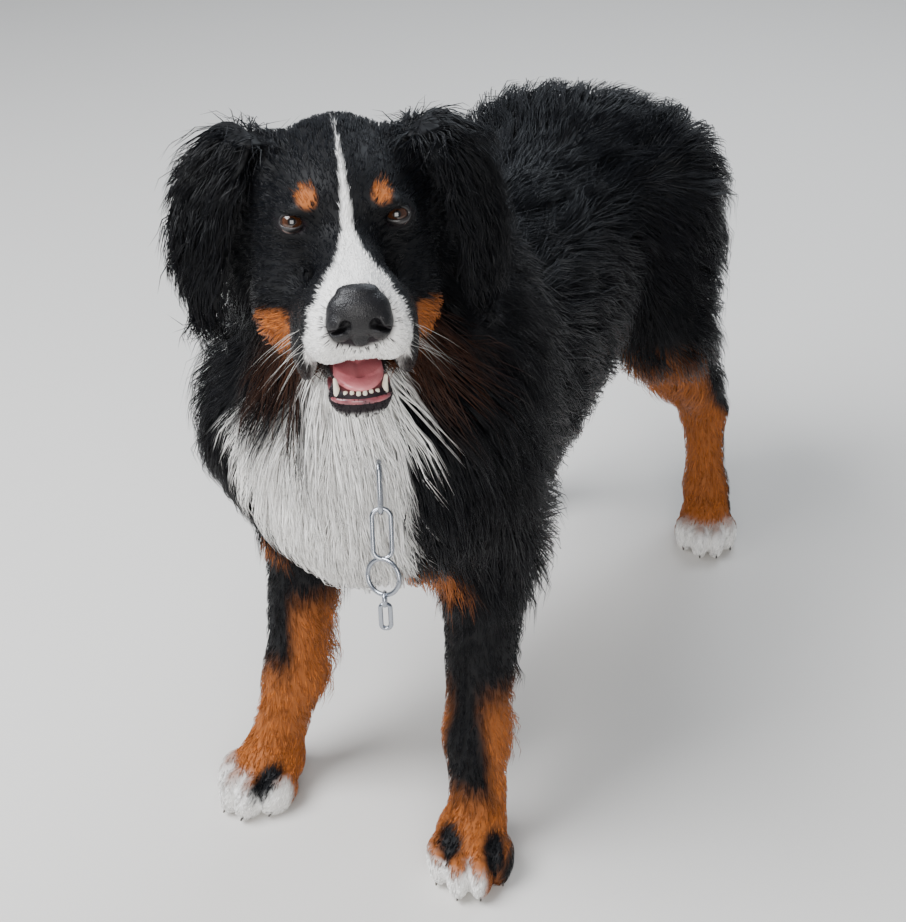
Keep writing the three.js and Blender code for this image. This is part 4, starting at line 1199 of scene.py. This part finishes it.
# Claws at the toes' tips
clawFinish = wetFinish("claw horn", (0.03, 0.026, 0.024), (0.09, 0.075, 0.06), 300, 0.35, 400, 0.0002)


# places as shares of the paw's width and length
clawSet = {"places": ((-0.40, -0.385), (-0.14, -0.575), (0.14, -0.575), (0.40, -0.385)), "height": 0.15,
           "radius": 3.2, "tip": 1.0, "length": 11, "lean": 118, "flat": 0.75}


def makeClaws():
    made = []
    for paw in paws:
        width, length, height = paw["size"]
        yaw = math.atan2(paw["axes"][1, 0], paw["axes"][0, 0])
        for across, reach in clawSet["places"]:
            place = paw["axes"] @ np.array([width * across, length * reach, height * clawSet["height"]])
            bpy.ops.mesh.primitive_cone_add(vertices=16, radius1=clawSet["radius"] / 1000,
                                            radius2=clawSet["tip"] / 1000, depth=clawSet["length"] / 1000,
                                            location=toMetres(place + paw["place"]),
                                            scale=(clawSet["flat"], 1, 1),
                                            rotation=(math.radians(clawSet["lean"]), 0, yaw))
            made.append(bpy.context.object)
    claws = joinInto("claws", made)
    bevel = claws.modifiers.new("worn", "BEVEL")
    bevel.width = 0.0006
    bevel.segments = 2
    applyAll(claws)
    bpy.ops.object.shade_smooth_by_angle(angle=math.radians(60))
    bpy.ops.object.select_all(action="DESELECT")
    claws.data.materials.append(clawFinish)
    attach(claws, "root")


makeClaws()


# Chain: polished wire with fine scratches
def steelFinish():
    finish, nodes, links, shader = startFinish("chain steel")
    noise = addNoiseBump(nodes, links, shader, 900, 0.15, 0.0001)
    rough = nodes.new("ShaderNodeMapRange")
    rough.inputs["To Min"].default_value = 0.14
    rough.inputs["To Max"].default_value = 0.34
    links.new(noise.outputs["Fac"], rough.inputs["Value"])
    links.new(rough.outputs["Result"], shader.inputs["Roughness"])
    shader.inputs["Base Color"].default_value = (0.34, 0.36, 0.40, 1)
    shader.inputs["Metallic"].default_value = 1.0
    return finish


steel = steelFinish()
chainSet = {"wire": 4.3, "length": 50, "width": 21, "ring": 37, "depth": -7, "fall": (-0.16, 0.30, 0.94),
            "upper": (87, -421, 521), "lower": (94, -434, 482), "ringPlace": (100, -446, 445),
            "claspEye": (103, -451, 425), "claspEyeRadius": 5.6,
            "claspHook": (103, -451, 406), "claspHookHalf": 9, "claspHookRadius": 4.4}


def loopMesh(name, centre, straight, radius, along, wide):
    bpy.ops.mesh.primitive_torus_add(major_segments=48, minor_segments=12, major_radius=radius / 1000,
                                     minor_radius=chainSet["wire"] / 2000)
    loop = bpy.context.object
    loop.name = name
    for vertex in loop.data.vertices:
        if abs(vertex.co.x) > 1e-6:
            vertex.co.x += math.copysign(straight / 1000, vertex.co.x)
    x = Vector(along).normalized()
    y = (Vector(wide) - x * x.dot(Vector(wide))).normalized()
    turn = Matrix((x, y, x.cross(y))).transposed().to_4x4()
    loop.data.transform(Matrix.Translation(Vector(centre)) @ turn)
    bpy.ops.object.shade_smooth()
    loop.data.materials.append(steel)
    bpy.ops.object.select_all(action="DESELECT")
    return loop


half = (chainSet["length"] - chainSet["width"]) / 2
linkRadius = (chainSet["width"] - chainSet["wire"]) / 2
ringRadius = (chainSet["ring"] - chainSet["wire"]) / 2


def makeHangingChain():
    loops = (("hanging_link_upper", "drop_link_upper", "upper", half, linkRadius, (0.39, -0.76, 0.52)),
             ("hanging_link_lower", "drop_link_lower", "lower", half, linkRadius, (0.89, 0.46, 0)),
             ("hanging_ring", "drop_ring", "ringPlace", 0, ringRadius, (1.0, -0.06, 0)))
    for name, node, place, straight, radius, wide in loops:
        loop = loopMesh(name, toMetres(chainSet[place]), straight, radius, chainSet["fall"], wide)
        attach(loop, "root")
        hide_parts(node)
    clasp = joinInto("clasp", [
        loopMesh("clasp_eye", toMetres(chainSet["claspEye"]), 0, chainSet["claspEyeRadius"],
                 (0, 0, 1), (0.45, -0.89, 0)),
        loopMesh("clasp_hook", toMetres(chainSet["claspHook"]), chainSet["claspHookHalf"],
                 chainSet["claspHookRadius"], (0, 0, 1), (0.89, 0.46, 0))])
    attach(clasp, "root")


makeHangingChain()


# The loop round the neck is hidden by the ruff, so its links are set on a closed line, sunk by the depth
def makeCollar():
    links = sorted(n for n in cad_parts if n.startswith("chain_link"))
    line = np.array([np.add(*[np.array(corner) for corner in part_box(name)]) / 2 for name in links])
    line = line * 1000 + underMiddle
    middle = line.mean(0)
    spokes = line - middle
    across = np.linalg.svd(spokes)[2]
    turn = np.arctan2(spokes @ across[1], spokes @ across[0])
    line = line[np.argsort(turn)]
    line, _ = settle(torso, line.astype(np.float32), chainSet["depth"], turns=4)
    closed = np.concatenate([line, line[:1]])
    run = np.concatenate([[0], np.cumsum(np.linalg.norm(np.diff(closed, axis=0), axis=1))])
    count = 2 * round(run[-1] / (chainSet["length"] - 2 * chainSet["wire"]) / 2)
    spots = np.arange(count + 1) / count * run[-1]
    places = np.stack([np.interp(spots, run, closed[:, k]) for k in range(3)], 1)
    made = []
    for k in range(count):
        along = places[k + 1] - places[k - 1 if k else count - 1]
        out = gradient(torso, places[k:k + 1].astype(np.float32))[0]
        side = np.cross(along, out)
        wide = side + out * (np.linalg.norm(side) if k % 2 else -np.linalg.norm(side))
        made.append(loopMesh(f"neck_link_{k + 1:02d}", toMetres(places[k]), half, linkRadius, along, wide))
    collar = joinInto("neck_chain", made)
    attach(collar, "root")
    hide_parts(*links)


makeCollar()
print("chain in place")


# Floor and light
stageSet = {"floor": (0.66, 0.64, 0.61), "aim": (0.0, -0.1, 0.45),
            "sky": (0.80, 0.86, 0.95), "skyStrength": 0.33,
            "lamps": [{"place": (-1.4, -1.6, 3.2), "size": 2.2, "power": 265, "colour": (0.95, 0.97, 1.0)},
                      {"place": (1.3, -2.7, 1.5), "size": 1.8, "power": 75, "colour": (1.0, 0.98, 0.95)},
                      {"place": (0.2, 2.4, 3.0), "size": 2.0, "power": 85, "colour": (0.85, 0.92, 1.0)}]}


def makeStage():
    bpy.ops.mesh.primitive_plane_add(size=14, location=(0, 1.5, 0))
    floor = bpy.context.object
    floor.name = "floor"
    finish, nodes, links, shader = startFinish("pale floor")
    addNoiseBump(nodes, links, shader, 30, 0.05, 0.001)
    shader.inputs["Base Color"].default_value = (*stageSet["floor"], 1)
    shader.inputs["Roughness"].default_value = 0.85
    floor.data.materials.append(finish)
    for lamp in stageSet["lamps"]:
        aim = Vector(stageSet["aim"]) - Vector(lamp["place"])
        bpy.ops.object.light_add(type="AREA", location=lamp["place"],
                                 rotation=aim.to_track_quat("-Z", "Y").to_euler())
        light = bpy.context.object.data
        light.size = lamp["size"]
        light.energy = lamp["power"]
        light.color = lamp["colour"]
    world = bpy.data.worlds.new("studio")
    bpy.context.scene.world = world
    world.use_nodes = True
    world.node_tree.nodes["Background"].inputs["Color"].default_value = (*stageSet["sky"], 1)
    world.node_tree.nodes["Background"].inputs["Strength"].default_value = stageSet["skyStrength"]


makeStage()
bpy.ops.object.select_all(action="DESELECT")
print("stage in place")
